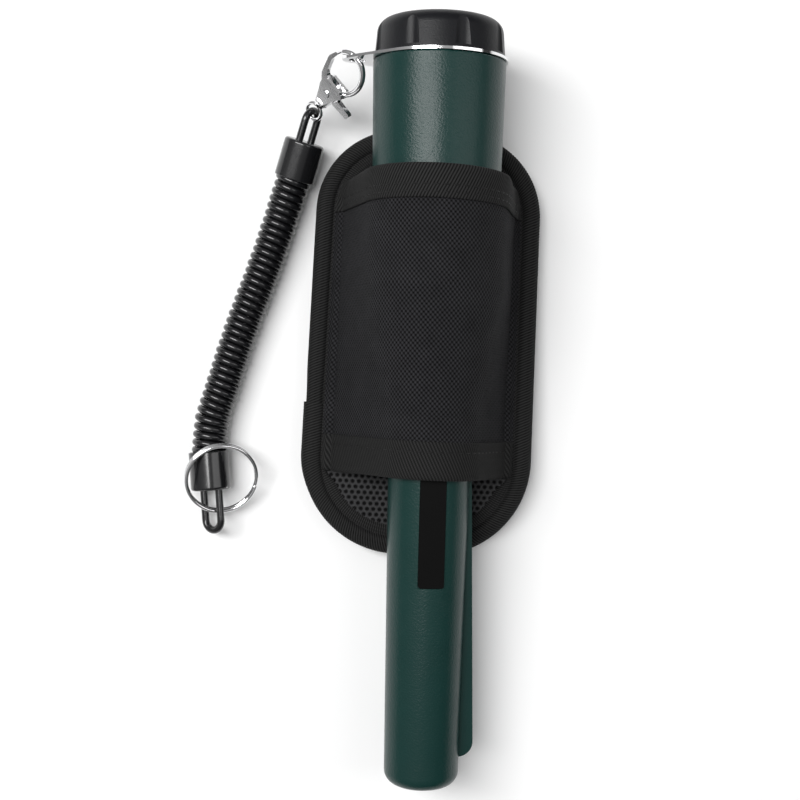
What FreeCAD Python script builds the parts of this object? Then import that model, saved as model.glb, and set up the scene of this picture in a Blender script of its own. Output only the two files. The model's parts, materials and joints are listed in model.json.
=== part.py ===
"""Pinpointer probe in its belt holster, with a coiled lanyard clipped to it: a FreeCAD parametric document.

Row frame: millimetres, +Z up. The holster lies on its belt loop, and the origin is the middle of the loop's
underside. +Y runs along the holster towards the probe's battery cap, and +X towards the blade's side.

Three working frames are used besides it, each with its own Placement:
  probe frame  origin at the housing's mouth, +Z out of the battery cap, -Y towards the button and label;
  hook frame   origin at the middle of the claw's opening, +X towards the claw's tip, +Z out of its flat side;
  cord frames  origin at an end sleeve's loop end, +Z out through the loop.
"""

import FreeCAD, Part
import math
import os
import re

import Sketcher
from FreeCAD import Placement, Rotation, Vector

OUT = "parts"
SHEET = "Dimensions"

# Every driving dimension, in millimetres or degrees: (alias, value, what it is).
DRIVING = [
    # housing
    ("head_radius", 19.6, "housing at its mouth"),
    ("waist_radius", 18.4, "housing where the head ends"),
    ("head_length", 66.0, "mouth to the start of the shoulder"),
    ("shoulder_length", 38.0, "head down to the wand"),
    ("wand_radius", 12.4, "top of the wand"),
    ("tip_radius", 11.2, "wand at its end"),
    ("body_length", 215.6, "mouth to tip"),
    ("tip_rounding", 4.0, "edge of the tip"),
    ("shoulder_blend", 120.0, "radius that eases the shoulder's two corners"),
    ("wall", 2.0, "housing wall"),
    ("tip_floor", 2.5, "material past the bore's end"),
    # mouth, thread and seal
    ("seal_radius", 17.25, "smooth land at the mouth"),
    ("seal_depth", 3.4, "length of that land"),
    ("ridge_radius", 16.55, "crests of the internal thread"),
    ("bore_depth", 12.6, "mouth to the end of the thread"),
    ("bay_radius", 16.3, "battery bay"),
    ("bay_end", 65.0, "mouth to the end of the bay"),
    ("thread_pitch", 3.0, "cap thread"),
    ("thread_root", 17.2, "roots of the internal thread"),
    ("thread_crest", 17.0, "crests of the cap's thread"),
    ("thread_play", 0.2, "axial play on each flank"),
    ("thread_start", 9.3, "depth of the cap thread's lower end"),
    # scraper blade, label, button, lens and speaker openings
    ("blade_start", 104.0, "mouth to where the blade rises"),
    ("blade_end", 207.5, "mouth to the blade's foot"),
    ("blade_rise", 12.27, "blade's edge from the axis where it starts"),
    ("blade_slope", 0.0315, "rise of the blade's edge per millimetre"),
    ("blade_thickness", 2.8, "blade"),
    ("blade_corner", 4.5, "rounding of the blade's foot"),
    ("label_start", 112.0, "mouth to the label"),
    ("label_length", 42.0, "label"),
    ("label_width", 7.6, "label"),
    ("label_floor", 11.0, "flat under the label, from the axis"),
    ("label_thickness", 0.7, "label plate"),
    ("button_level", 79.0, "mouth to the power button"),
    ("button_radius", 5.5, "power button"),
    ("button_face", 16.0, "boss round the button, from the axis"),
    ("lens_level", 94.0, "mouth to the lamp"),
    ("lens_radius", 2.6, "lamp lens"),
    ("speaker_level", 78.0, "mouth to the speaker"),
    ("speaker_radius", 7.5, "speaker"),
    # battery cap and lanyard ring
    ("cap_height", 12.0, "ring seat to the cap's top"),
    ("cap_radius", 19.2, "cap at its skirt"),
    ("cap_top_radius", 18.3, "cap under its rounding"),
    ("cap_rounding", 4.2, "cap's upper edge"),
    ("flute_radius", 3.6, "finger flutes"),
    ("flute_depth", 1.15, "finger flutes"),
    ("flute_count", 8, "finger flutes"),
    ("flute_turn", 12.5, "turn of the first flute from the front"),
    ("stub_radius", 16.6, "cap stub at the seal"),
    ("stub_root", 15.9, "cap stub under the thread"),
    ("stub_inside", 14.0, "cap stub's bore"),
    ("stub_depth", 10.4, "cap stub below the mouth"),
    ("ring_radius", 20.1, "lanyard ring"),
    ("ring_hole", 17.35, "lanyard ring"),
    ("ring_thickness", 0.8, "lanyard ring"),
    ("ring_play", 0.03, "gap on each face of the ring"),
    ("ear_reach", 24.3, "axis to the ear's hole"),
    ("ear_radius", 4.4, "ear"),
    ("ear_hole", 2.5, "radius of the ear's hole"),
    ("recess_radius", 9.0, "dish in the cap's top"),
    ("recess_depth", 0.6, "dish in the cap's top"),
    ("cap_ceiling", 2.0, "mouth to the top of the cap's bore"),
    ("o_ring_radius", 16.35, "seal, middle of its section"),
    ("o_ring_section", 0.85, "radius of the seal's section"),
    ("o_ring_level", 1.9, "mouth to the seal"),
    ("foam_radius", 13.8, "cushion in the cap"),
    # battery, board, motor and coil
    ("battery_level", 11.2, "mouth to the battery's base"),
    ("battery_length", 46.2, "battery case"),
    ("battery_width", 26.2, "battery case"),
    ("battery_depth", 17.0, "battery case"),
    ("contact_height", 2.3, "battery contacts"),
    ("contact_half", 6.35, "battery contacts from the middle"),
    ("snap_height", 4.0, "battery snap"),
    ("divider_level", 62.3, "mouth to the divider"),
    ("divider_thickness", 2.0, "divider"),
    ("board_start", 67.0, "mouth to the circuit board"),
    ("board_length", 72.0, "circuit board"),
    ("board_half", 8.0, "half the board's width"),
    ("board_thickness", 1.6, "circuit board"),
    ("switch_height", 3.4, "tact switch"),
    ("motor_offset", 4.2, "motor's shaft behind the board"),
    ("motor_start", 100.0, "mouth to the motor"),
    ("motor_length", 12.0, "motor can"),
    ("motor_radius", 3.0, "motor can"),
    ("bobbin_start", 148.0, "mouth to the bobbin"),
    ("bobbin_end", 210.0, "mouth to the bobbin's end"),
    ("bobbin_radius", 5.0, "bobbin's tube"),
    ("bobbin_flange", 8.75, "bobbin's flanges"),
    ("ferrite_radius", 4.0, "ferrite rod"),
    ("ferrite_length", 59.6, "ferrite rod"),
    ("winding_radius", 7.5, "search coil"),
    ("winding_start", 153.2, "mouth to the search coil"),
    ("winding_length", 54.8, "search coil"),
    # holster
    ("pad_top_width", 67.0, "across the pad at its upper end"),
    ("pad_bottom_width", 69.6, "across the pad at its lower end"),
    ("pad_length", 129.8, "pad"),
    ("pad_top_corner", 25.0, "pad's upper corners"),
    ("pad_bottom_corner", 29.0, "pad's lower corners"),
    ("pad_back", 5.5, "height of the pad's back"),
    ("cover_thickness", 0.7, "back cover and front lining"),
    ("foam_thickness", 2.8, "foam core"),
    ("binding_thickness", 0.9, "edge tape"),
    ("binding_reach", 4.5, "tape over the pad's faces"),
    ("pocket_top", 48.2, "pocket's upper edge"),
    ("pocket_bottom", -40.2, "pocket's lower edge"),
    ("pocket_half", 27.6, "pocket seam from the middle"),
    ("pocket_gap_top", 1.2, "room round the probe at the upper edge"),
    ("pocket_gap_bottom", 2.2, "room round the probe at the lower edge"),
    ("pocket_cloth", 1.2, "pocket cloth"),
    ("hem_height", 9.0, "tape on the pocket's edges"),
    ("hem_cloth", 0.7, "that tape"),
    ("loop_width", 30.0, "belt webbing"),
    ("loop_length", 72.0, "belt webbing"),
    ("loop_fold", 9.5, "sewn end of the webbing"),
    ("webbing", 1.6, "belt webbing"),
    # how the probe lies in the holster
    ("mouth_x", 0.96, "mouth centre"),
    ("mouth_y", 81.6, "mouth centre"),
    ("mouth_z", 32.4, "mouth centre"),
    ("probe_tilt", 3.4, "tip down"),
    ("probe_yaw", 1.24, "tip towards +X"),
    ("probe_roll", 6.0, "label towards +X"),
    # lanyard
    ("hook_turn", 41.0, "heading of the hook, from +X"),
    ("hook_rise", 48.0, "climb of the hook"),
    ("claw_long", 7.2, "claw, middle of the wire, along the hook"),
    ("claw_wide", 6.0, "claw, middle of the wire, across"),
    ("claw_wire", 0.9, "radius of the claw's wire"),
    ("rivet_back", 9.6, "claw's middle back to the rivet"),
    ("eye_back", 19.4, "claw's middle back to the eye"),
    ("eye_radius", 2.7, "eye, middle of its wire"),
    ("eye_wire", 0.6, "radius of the eye's wire"),
    ("cord_wire", 1.15, "radius of the cord"),
    ("coil_radius", 4.35, "coil, middle of the cord"),
    ("coil_pitch", 2.42, "coil at rest"),
    ("sleeve_radius", 6.25, "end sleeves"),
    ("sleeve_length", 12.0, "end sleeves"),
    ("sleeve_bore", 5.75, "socket for the coil's end"),
    ("sleeve_floor", 3.0, "end wall that holds the loop"),
    ("loop_reach", 12.7, "sleeve to the crown of the lower loop"),
    ("loop_half", 3.2, "half the loop's width, middle of the cord"),
    ("key_ring_radius", 11.0, "split ring, middle of its wire"),
]


# ---------------------------------------------------------------- document, sheet and expressions

doc = FreeCAD.newDocument("pinpointer")
sheet = doc.addObject("Spreadsheet::Sheet", SHEET)
for row, (alias, number, note) in enumerate(DRIVING, start=1):
    sheet.set(f"A{row}", note)
    sheet.set(f"B{row}", str(number))
    sheet.setAlias(f"B{row}", alias)
doc.recompute()


def linked(expression):
    """The expression with every cell's name written as the sheet's."""
    return re.sub(r"\b([a-z]+(?:_[a-z]+)+|wall|webbing)\b", rf"{SHEET}.\1", str(expression))


scratch = doc.addObject("App::FeaturePython", "Scratch")
scratch.addProperty("App::PropertyFloat", "Number")


def value(expression):
    """The expression's number, by the document's own arithmetic."""
    scratch.setExpression("Number", linked(expression))
    scratch.recompute()
    return float(scratch.Number)


def bind(item, name, expression):
    """Ties a property to the sheet."""
    item.setExpression(name, linked(expression))


# ---------------------------------------------------------------- sketches and PartDesign features


def new_body(label):
    body = doc.addObject("PartDesign::Body", label)
    body.Label = label
    return body


def blank_sketch(body, name, role, height=None):
    """A sketch on one of the body's own origin planes, lifted along its normal by height."""
    plane = next(f for f in body.Origin.OriginFeatures if f.Role == role)
    sketch = body.newObject("Sketcher::SketchObject", name)
    sketch.AttachmentSupport = [(plane, "")]
    sketch.MapMode = "FlatFace"
    if height is not None:
        bind(sketch, "AttachmentOffset.Base.z", height)
    return sketch


def locate(sketch, geometry, point, x, y):
    """Holds a sketch point at (x, y), each an expression."""
    for kind, expression, axis in (("DistanceX", x, -2), ("DistanceY", y, -1)):
        if expression == "0":
            sketch.addConstraint(Sketcher.Constraint("PointOnObject", geometry, point, axis))
        else:
            made = Sketcher.Constraint(kind, -1, 1, geometry, point, value(expression))
            index = sketch.addConstraint(made)
            bind(sketch, f"Constraints[{index}]", expression)


def corner_cut(before, corner, after, radius):
    """Where a rounding leaves the two sides that meet at corner, its arc, and whether it runs on."""
    one = (before - corner).normalize()
    two = (after - corner).normalize()
    half = one.getAngle(two) / 2
    middle = corner + (one + two).normalize() * (radius / math.sin(half))
    first = corner + one * (radius / math.tan(half))
    last = corner + two * (radius / math.tan(half))
    runs_on = one.cross(two).z < 0
    start, end = (first, last) if runs_on else (last, first)
    begin = math.atan2(start.y - middle.y, start.x - middle.x)
    finish = math.atan2(end.y - middle.y, end.x - middle.x)
    circle = Part.Circle(middle, Vector(0, 0, 1), radius)
    return first, last, Part.ArcOfCircle(circle, begin, finish), runs_on


def outline(body, name, role, corners, height=None):
    """A closed outline. Each corner is (x, y) or (x, y, radius), all expressions of the sheet."""
    sketch = blank_sketch(body, name, role, height)
    count = len(corners)
    spots = [Vector(value(c[0]), value(c[1]), 0) for c in corners]
    starts, ends, arcs = list(spots), list(spots), {}
    for i, corner in enumerate(corners):
        if len(corner) == 3:
            cut = corner_cut(spots[i - 1], spots[i], spots[(i + 1) % count], value(corner[2]))
            ends[i], starts[i], arcs[i] = cut[0], cut[1], cut[2:]
    for i in range(count):
        sketch.addGeometry(Part.LineSegment(starts[i], ends[(i + 1) % count]), False)
    for i, corner in enumerate(corners):
        before, after = (i - 1) % count, i
        if i not in arcs:
            sketch.addConstraint(Sketcher.Constraint("Coincident", before, 2, after, 1))
            locate(sketch, after, 1, corner[0], corner[1])
            continue
        arc = sketch.addGeometry(arcs[i][0], False)
        first, last = (1, 2) if arcs[i][1] else (2, 1)
        mark = sketch.addGeometry(Part.Point(spots[i]), True)
        sketch.addConstraint(Sketcher.Constraint("Tangent", before, 2, arc, first))
        sketch.addConstraint(Sketcher.Constraint("Tangent", after, 1, arc, last))
        sketch.addConstraint(Sketcher.Constraint("PointOnObject", mark, 1, before))
        sketch.addConstraint(Sketcher.Constraint("PointOnObject", mark, 1, after))
        locate(sketch, mark, 1, corner[0], corner[1])
        index = sketch.addConstraint(Sketcher.Constraint("Radius", arc, value(corner[2])))
        bind(sketch, f"Constraints[{index}]", corner[2])
    return sketch


def circles(body, name, role, rounds, height=None):
    """Circles, each (x, y, radius) as expressions."""
    sketch = blank_sketch(body, name, role, height)
    for x, y, radius in rounds:
        centre = Vector(value(x), value(y), 0)
        made = sketch.addGeometry(Part.Circle(centre, Vector(0, 0, 1), value(radius)), False)
        locate(sketch, made, 3, x, y)
        index = sketch.addConstraint(Sketcher.Constraint("Radius", made, value(radius)))
        bind(sketch, f"Constraints[{index}]", radius)
    return sketch


def box_corners(x0, y0, x1, y1):
    return [(x0, y0), (x1, y0), (x1, y1), (x0, y1)]


def feature(body, kind, sketch, name):
    made = body.newObject(f"PartDesign::{kind}", name)
    made.Profile = (sketch, [""])
    return made


def turned(body, sketch, name="Turned"):
    """A full turn about the sketch's upright axis."""
    made = feature(body, "Revolution", sketch, name)
    made.ReferenceAxis = (sketch, ["V_Axis"])
    made.Angle = 360
    doc.recompute()
    return made


def padded(body, sketch, length, name="Pad", both_ways=False, flipped=False):
    made = feature(body, "Pad", sketch, name)
    bind(made, "Length", length)
    made.Midplane = both_ways
    made.Reversed = flipped
    doc.recompute()
    return made


def pocketed(body, sketch, length, name="Pocket", both_ways=False, flipped=False):
    """Cuts, and stops the build if nothing was cut."""
    before = body.Tip.Shape.Volume
    made = feature(body, "Pocket", sketch, name)
    bind(made, "Length", length)
    made.Midplane = both_ways
    made.Reversed = flipped
    doc.recompute()
    if made.Shape.isNull() or made.Shape.Volume > before - 1e-3:
        raise RuntimeError(f"{body.Label}: {name} cut nothing")
    return made


def grooved(body, sketch, name):
    """Cuts a full turn about the sketch's upright axis, and stops the build if nothing was cut."""
    before = body.Tip.Shape.Volume
    made = feature(body, "Groove", sketch, name)
    made.ReferenceAxis = (sketch, ["V_Axis"])
    made.Angle = 360
    doc.recompute()
    if made.Shape.isNull() or made.Shape.Volume > before - 1e-3:
        raise RuntimeError(f"{body.Label}: {name} cut nothing")
    return made


def helix(body, kind, sketch, pitch, height, name="Thread"):
    made = feature(body, kind, sketch, name)
    made.ReferenceAxis = (sketch, ["V_Axis"])
    made.Mode = 0
    bind(made, "Pitch", pitch)
    bind(made, "Height", height)
    doc.recompute()
    return made


def repeated_round(body, source, count, name="Ring"):
    """The source feature, repeated about the body's Z axis."""
    made = body.newObject("PartDesign::PolarPattern", name)
    made.Originals = [source]
    made.Axis = (next(f for f in body.Origin.OriginFeatures if f.Role == "Z_Axis"), [""])
    made.Angle = 360
    bind(made, "Occurrences", count)
    body.Tip = made
    doc.recompute()
    return made


def rounded(body, wanted, radius, name="Rounding"):
    """Rounds the edges of the body's tip for which wanted(edge) is true."""
    base = body.Tip
    names = [f"Edge{i}" for i, edge in enumerate(base.Shape.Edges, start=1) if wanted(edge)]
    if not names:
        raise RuntimeError(f"{body.Label}: {name} found no edge")
    made = body.newObject("PartDesign::Fillet", name)
    made.Base = (base, names)
    bind(made, "Radius", radius)
    doc.recompute()
    return made


def shaped(label, shape):
    """A sub-part whose shape Part's own functions make."""
    made = doc.addObject("Part::Feature", label)
    made.Label = label
    made.Shape = shape
    return made


def joined(label, kind, *items):
    """A boolean of named objects: kind is MultiFuse, MultiCommon or Cut."""
    made = doc.addObject(f"Part::{kind}", label)
    made.Label = label
    if kind == "Cut":
        made.Base, made.Tool = items
    else:
        made.Shapes = list(items)
    doc.recompute()
    return made


# ---------------------------------------------------------------- working frames

SUBPARTS = []


def keep(item, frame=None):
    """Counts an object as a sub-part, standing in its working frame."""
    if frame is not None:
        item.Placement = frame.multiply(item.Placement)
    SUBPARTS.append(item)
    return item


def probe_frame():
    lying = Rotation(Vector(1, 0, 0), value("probe_tilt - 90"))
    turn = Rotation(Vector(0, 0, 1), value("probe_yaw")).multiply(lying)
    turn = turn.multiply(Rotation(Vector(0, 0, 1), value("probe_roll")))
    return Placement(Vector(value("mouth_x"), value("mouth_y"), value("mouth_z")), turn)


def ring_frame():
    """The probe frame without its roll: the lanyard ring's ear points level, away from the blade."""
    probe = probe_frame()
    back = Rotation(Vector(0, 0, 1), -value("probe_roll"))
    return Placement(probe.Base, probe.Rotation.multiply(back))


def hook_frame():
    """The claw's tip runs through the middle of the ear's hole."""
    turn = math.radians(value("hook_turn"))
    rise = math.radians(value("hook_rise"))
    along = Vector(math.cos(turn) * math.cos(rise), math.sin(turn) * math.cos(rise), math.sin(rise))
    across = Vector(-math.sin(turn), math.cos(turn), 0)
    hole = ring_frame().multVec(Vector(value("-ear_reach"), 0, value("ring_thickness / 2 + ring_play")))
    spin = Rotation(along, across, along.cross(across), "XYZ")
    return Placement(hole - along * value("claw_long"), spin)


def cord_frame(loop_end, coil_end, upright):
    """An end sleeve from its loop face, with the loop's bend in the plane of its axis and upright."""
    axis = (loop_end - coil_end).normalize()
    side = (upright - axis * upright.dot(axis)).normalize()
    return Placement(loop_end, Rotation(side, axis.cross(side), axis, "XYZ"))


PROBE = probe_frame()
RING = ring_frame()
HOOK = hook_frame()
HOOK_NORMAL = HOOK.Rotation.multVec(Vector(0, 0, 1))
EYE = HOOK.multVec(Vector(value("-eye_back"), 0, 0))
COIL_TOP = Vector(-42.4, 49.4, 8.0)
COIL_BOTTOM = Vector(-65.3, -37.0, 6.3)
BOTTOM_LOOP_SIDE = Vector(-63.9, -49.0, 6.3)
UPPER_AXIS = (EYE - COIL_TOP).normalize()
TOP_CORD = cord_frame(COIL_TOP + UPPER_AXIS * value("sleeve_length"), COIL_TOP, HOOK_NORMAL)
LOOP_LEAN = 35.0
BOTTOM_CORD = cord_frame(BOTTOM_LOOP_SIDE, COIL_BOTTOM, Vector(1, 0, math.tan(math.radians(LOOP_LEAN))))


# ---------------------------------------------------------------- housing

housing = new_body("main_housing")
turned(housing, outline(housing, "Outside", "XZ_Plane", [
    ("0", "0"),
    ("head_radius", "0", "0.5"),
    ("waist_radius", "-head_length", "shoulder_blend"),
    ("wand_radius", "-(head_length + shoulder_length)", "shoulder_blend"),
    ("tip_radius", "-body_length", "tip_rounding"),
    ("0", "-body_length"),
]), "OutsideTurned")

# A round boss carries the power button; the shell is cut back above it so that its face is flat.
BOSS_RIM = 1.7
BOSS = [("0", "-button_level", f"button_radius + {BOSS_RIM}")]
padded(housing, circles(housing, "Boss", "XZ_Plane", BOSS, "button_face"), "button_face / 2", "BossPad",
       flipped=True)
pocketed(housing, circles(housing, "BossFace", "XZ_Plane", BOSS, "button_face"), "head_radius", "BossTrim",
         flipped=True)

blade = outline(housing, "Blade", "XZ_Plane", [
    ("wand_radius - wall / 2", "-blade_start"),
    ("blade_rise", "-blade_start"),
    ("blade_rise + blade_slope * (blade_end - blade_start)", "-blade_end", "blade_corner"),
    ("tip_radius - wall / 2", "-blade_end"),
])
padded(housing, blade, "blade_thickness", "BladePad", both_ways=True)
LABEL_PLAY = 0.15
label_seat = outline(housing, "LabelSeat", "XZ_Plane", box_corners(
    f"-(label_width / 2 + {LABEL_PLAY})", f"-(label_start + label_length + {LABEL_PLAY})",
    f"label_width / 2 + {LABEL_PLAY}", f"-(label_start - {LABEL_PLAY})"), "label_floor")
pocketed(housing, label_seat, "wand_radius", "LabelRecess", flipped=True)

grooved(housing, outline(housing, "Inside", "XZ_Plane", [
    ("0", "1"),
    ("seal_radius", "1"),
    ("seal_radius", "-seal_depth"),
    ("thread_root", "-seal_depth"),
    ("thread_root", "-bore_depth"),
    ("bay_radius", "-bore_depth"),
    ("bay_radius", "-bay_end"),
    ("wand_radius - wall", "-(head_length + shoulder_length)"),
    ("tip_radius - wall", "-(body_length - tip_floor)"),
    ("0", "-(body_length - tip_floor)"),
]), "Bore")

# The internal thread is a ridge that stands half a pitch from the cap's tooth at every turn.
TOOTH_HALF = 0.75
TOOTH_TAPER = 0.318
RIDGE_OVERLAP = 0.15


def tooth_half(radius):
    """Half the cap tooth's height at this radius, as an expression."""
    return f"({TOOTH_HALF} - ({radius} - stub_root) * {TOOTH_TAPER})"


def ridge_half(radius):
    """Half the ridge's height at this radius: the room left by the tooth, less the play."""
    return f"(thread_pitch / 2 - thread_play - {tooth_half(radius)})"


ridge_level = "(thread_start + thread_pitch / 2)"
ridge_base = f"(thread_root + {RIDGE_OVERLAP})"
ridge = outline(housing, "Ridge", "XZ_Plane", [
    (ridge_base, f"-{ridge_level} - {ridge_half(ridge_base)}"),
    (ridge_base, f"-{ridge_level} + {ridge_half(ridge_base)}"),
    ("ridge_radius", f"-{ridge_level} + {ridge_half('ridge_radius')}"),
    ("ridge_radius", f"-{ridge_level} - {ridge_half('ridge_radius')}"),
])
helix(housing, "AdditiveHelix", ridge, "thread_pitch", "2 * thread_pitch")

hole = circles(housing, "ButtonHole", "XZ_Plane", [("0", "-button_level", "button_radius + 0.15")],
               "head_radius")
pocketed(housing, hole, "head_radius - wall", "ButtonBore")

# Lamp window and speaker grille.
lens_hole = circles(housing, "LensHole", "XZ_Plane", [("0", "-lens_level", "lens_radius + 0.1")],
                    "head_radius")
pocketed(housing, lens_hole, "head_radius - wall", "LensBore")
GRILLE_HOLE = 0.75
GRILLE_RING = 3.4
GRILLE_COUNT = 6
grille = circles(housing, "Grille", "XZ_Plane", [("0", "-speaker_level", f"{GRILLE_HOLE}")] + [
    (f"{GRILLE_RING} * cos({360 * i / GRILLE_COUNT + 15})",
     f"{GRILLE_RING} * sin({360 * i / GRILLE_COUNT + 15}) - speaker_level", f"{GRILLE_HOLE}")
    for i in range(GRILLE_COUNT)], "-head_radius")
pocketed(housing, grille, "head_radius - wall - motor_offset", "GrilleHoles", flipped=True)
keep(housing, PROBE)


# ---------------------------------------------------------------- helpers for simple pieces

def slab(label, role, corners, height, length, frame):
    """A plate of any outline, its first face at this height along its plane's normal."""
    body = new_body(label)
    padded(body, outline(body, "Outline", role, corners, height), length)
    return keep(body, frame) if frame is not None else keep(body)


def disc(label, role, rounds, height, length, frame):
    """One or more round pads; the later circles are usually bosses on the first."""
    body = new_body(label)
    padded(body, circles(body, "Outline", role, rounds, height), length)
    return keep(body, frame)


def turned_piece(label, corners, frame):
    """A turned piece; each corner is (radius, level)."""
    body = new_body(label)
    turned(body, outline(body, "Profile", "XZ_Plane", corners))
    return keep(body, frame)


def bent_wire(points, radius, first=None, last=None):
    """A round wire along a smooth curve through the points."""
    curve = Part.BSplineCurve()
    if first is None:
        curve.interpolate(points)
    else:
        curve.interpolate(Points=points, InitialTangent=first, FinalTangent=last)
    return swept(Part.Wire([curve.toShape()]), curve.value(curve.FirstParameter),
                 curve.tangent(curve.FirstParameter)[0], radius)


def swept(spine, start, direction, radius):
    """A round section carried along a wire."""
    section = Part.Wire([Part.makeCircle(radius, start, direction)])
    return spine.makePipeShell([section], True, True)


# ---------------------------------------------------------------- pieces on and in the housing

SEAT_GAP = 0.03

slab("label_plate", "XZ_Plane", [
    ("-label_width / 2", "-(label_start + label_length)", "0.8"),
    ("label_width / 2", "-(label_start + label_length)", "0.8"),
    ("label_width / 2", "-label_start", "0.8"),
    ("-label_width / 2", "-label_start", "0.8"),
], f"label_floor + {SEAT_GAP}", "label_thickness", PROBE)

button = new_body("power_button")
BUTTON_PROUD = 0.4
BUTTON_DEEP = 4.3
BUTTON_FLANGE = 12.3
padded(button, circles(button, "Cap", "XZ_Plane", [("0", "-button_level", "button_radius")],
                       f"button_face - {BUTTON_DEEP}"), f"{BUTTON_DEEP + BUTTON_PROUD}")
rounded(button, lambda edge: abs(edge.BoundBox.YMin - value(f"-button_face - {BUTTON_PROUD}")) < 0.01
        and edge.BoundBox.YLength < 0.01, "0.7")
padded(button, circles(button, "Flange", "XZ_Plane", [("0", "-button_level", "button_radius + 1.1")],
                       f"{BUTTON_FLANGE}"), "0.9", "FlangePad", flipped=True)
BUTTON_STEM_END = 6.0
padded(button, circles(button, "Stem", "XZ_Plane", [("0", "-button_level", "1.5")],
                       f"{BUTTON_STEM_END}"), f"{BUTTON_FLANGE - BUTTON_STEM_END}", "StemPad")
keep(button, PROBE)

board = new_body("circuit_board")
padded(board, outline(board, "Board", "XZ_Plane", box_corners(
    "-board_half", "-(board_start + board_length)", "board_half", "-board_start"), "0"), "board_thickness")
CHIPS = (("-4.5", "112", "3.6", "1.2"), ("3.2", "104", "2.2", "0.9"), ("-3.4", "129", "2.6", "1.0"))
for number, (middle, level, half, tall) in enumerate(CHIPS, start=1):
    chip = outline(board, f"Chip{number}", "XZ_Plane", box_corners(
        f"{middle} - {half} / 2", f"-{level} - {half}", f"{middle} + {half} / 2", f"-{level} + {half}"),
        "board_thickness")
    padded(board, chip, tall, f"ChipPad{number}")
keep(board, PROBE)

switch = new_body("tact_switch")
padded(switch, outline(switch, "Case", "XZ_Plane", box_corners(
    "-3", "-button_level - 3", "3", "-button_level + 3"), "board_thickness"), "switch_height")
padded(switch, circles(switch, "Plunger", "XZ_Plane", [("0", "-button_level", "1.2")],
                       "board_thickness + switch_height"), "0.3", "PlungerPad")
keep(switch, PROBE)

led = new_body("led")
LED_RADIUS = 1.5
padded(led, circles(led, "Flange", "XZ_Plane", [("0", "-lens_level", "1.8")], "board_thickness + 3.0"), "0.8")
padded(led, circles(led, "Dome", "XZ_Plane", [("0", "-lens_level", f"{LED_RADIUS}")],
                    "board_thickness + 3.8"), "4.0", "DomePad")
rounded(led, lambda edge: abs(edge.BoundBox.YMin - value("-board_thickness - 7.8")) < 0.01
        and edge.BoundBox.YLength < 0.01, "1.4")
padded(led, circles(led, "Legs", "XZ_Plane",
                    [("-0.9", "-lens_level", "0.25"), ("0.9", "-lens_level", "0.25")],
                    "board_thickness"), "3.1", "LegPad")
keep(led, PROBE)

lens = new_body("led_lens")
padded(lens, circles(lens, "Window", "XZ_Plane", [("0", "-lens_level", "lens_radius")], "11.0"), "3.4")
rounded(lens, lambda edge: abs(edge.BoundBox.YMin + 14.4) < 0.01 and edge.BoundBox.YLength < 0.01, "0.9")
keep(lens, PROBE)

disc("speaker", "XZ_Plane", [("0", "-speaker_level", "speaker_radius")], "-11", "3", PROBE)

battery = new_body("battery_9v")
case = outline(battery, "Case", "XY_Plane", [
    ("-battery_width / 2", "-battery_depth / 2", "1.8"), ("battery_width / 2", "-battery_depth / 2", "1.8"),
    ("battery_width / 2", "battery_depth / 2", "1.8"), ("-battery_width / 2", "battery_depth / 2", "1.8"),
], "-battery_level")
padded(battery, case, "battery_length", "CasePad", flipped=True)
padded(battery, circles(battery, "Contacts", "XY_Plane", [("-contact_half", "0", "2.9"),
                                                          ("contact_half", "0", "4.0")],
                        "-(battery_level + battery_length)"), "contact_height", "ContactPad", flipped=True)
keep(battery, PROBE)

snap = new_body("battery_snap")
snap_level = "-(battery_level + battery_length + 0.2)"
padded(snap, outline(snap, "Plate", "XY_Plane", [
    ("-battery_width / 2 + 0.5", "-6.4", "1.5"), ("battery_width / 2 - 0.5", "-6.4", "1.5"),
    ("battery_width / 2 - 0.5", "6.4", "1.5"), ("-battery_width / 2 + 0.5", "6.4", "1.5"),
], snap_level), "snap_height", "PlatePad", flipped=True)
pocketed(snap, circles(snap, "Sockets", "XY_Plane",
                       [("-contact_half", "0", "3.1"), ("contact_half", "0", "4.2")],
                       snap_level), "contact_height", "SocketCut")
keep(snap, PROBE)

divider = new_body("battery_divider")
padded(divider, circles(divider, "Disc", "XY_Plane", [("0", "0", "bay_radius - 0.1")], "-divider_level"),
       "divider_thickness", "DiscPad", flipped=True)
pocketed(divider, circles(divider, "Hole", "XY_Plane", [("0", "0", "3")], "-divider_level"),
         "divider_thickness + 1", "HoleCut")
keep(divider, PROBE)

motor = new_body("vibration_motor")
padded(motor, circles(motor, "Can", "XY_Plane", [("0", "motor_offset", "motor_radius")], "-motor_start"),
       "motor_length", "CanPad", flipped=True)
pocketed(motor, circles(motor, "Bearing", "XY_Plane", [("0", "motor_offset", "0.45")],
                        "-(motor_start + motor_length)"), "6", "BearingCut", flipped=True)
keep(motor, PROBE)

weight = new_body("motor_weight")
SHAFT_INSIDE = 5.0
padded(weight, circles(weight, "Shaft", "XY_Plane", [("0", "motor_offset", "0.4")],
                       f"-(motor_start + motor_length - {SHAFT_INSIDE})"), f"{SHAFT_INSIDE} + 4.8",
       "ShaftPad", flipped=True)
padded(weight, circles(weight, "Disc", "XY_Plane", [("0", "motor_offset", "motor_radius - 0.2")],
                       "-(motor_start + motor_length + 0.8)"), "3.5", "DiscPad", flipped=True)
pocketed(weight, outline(weight, "Half", "XY_Plane", box_corners(
    "-motor_radius", "motor_offset + 0.8", "motor_radius", "motor_offset + motor_radius"),
    "-(motor_start + motor_length + 0.8)"), "3.5", "HalfCut")
keep(weight, PROBE)

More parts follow.
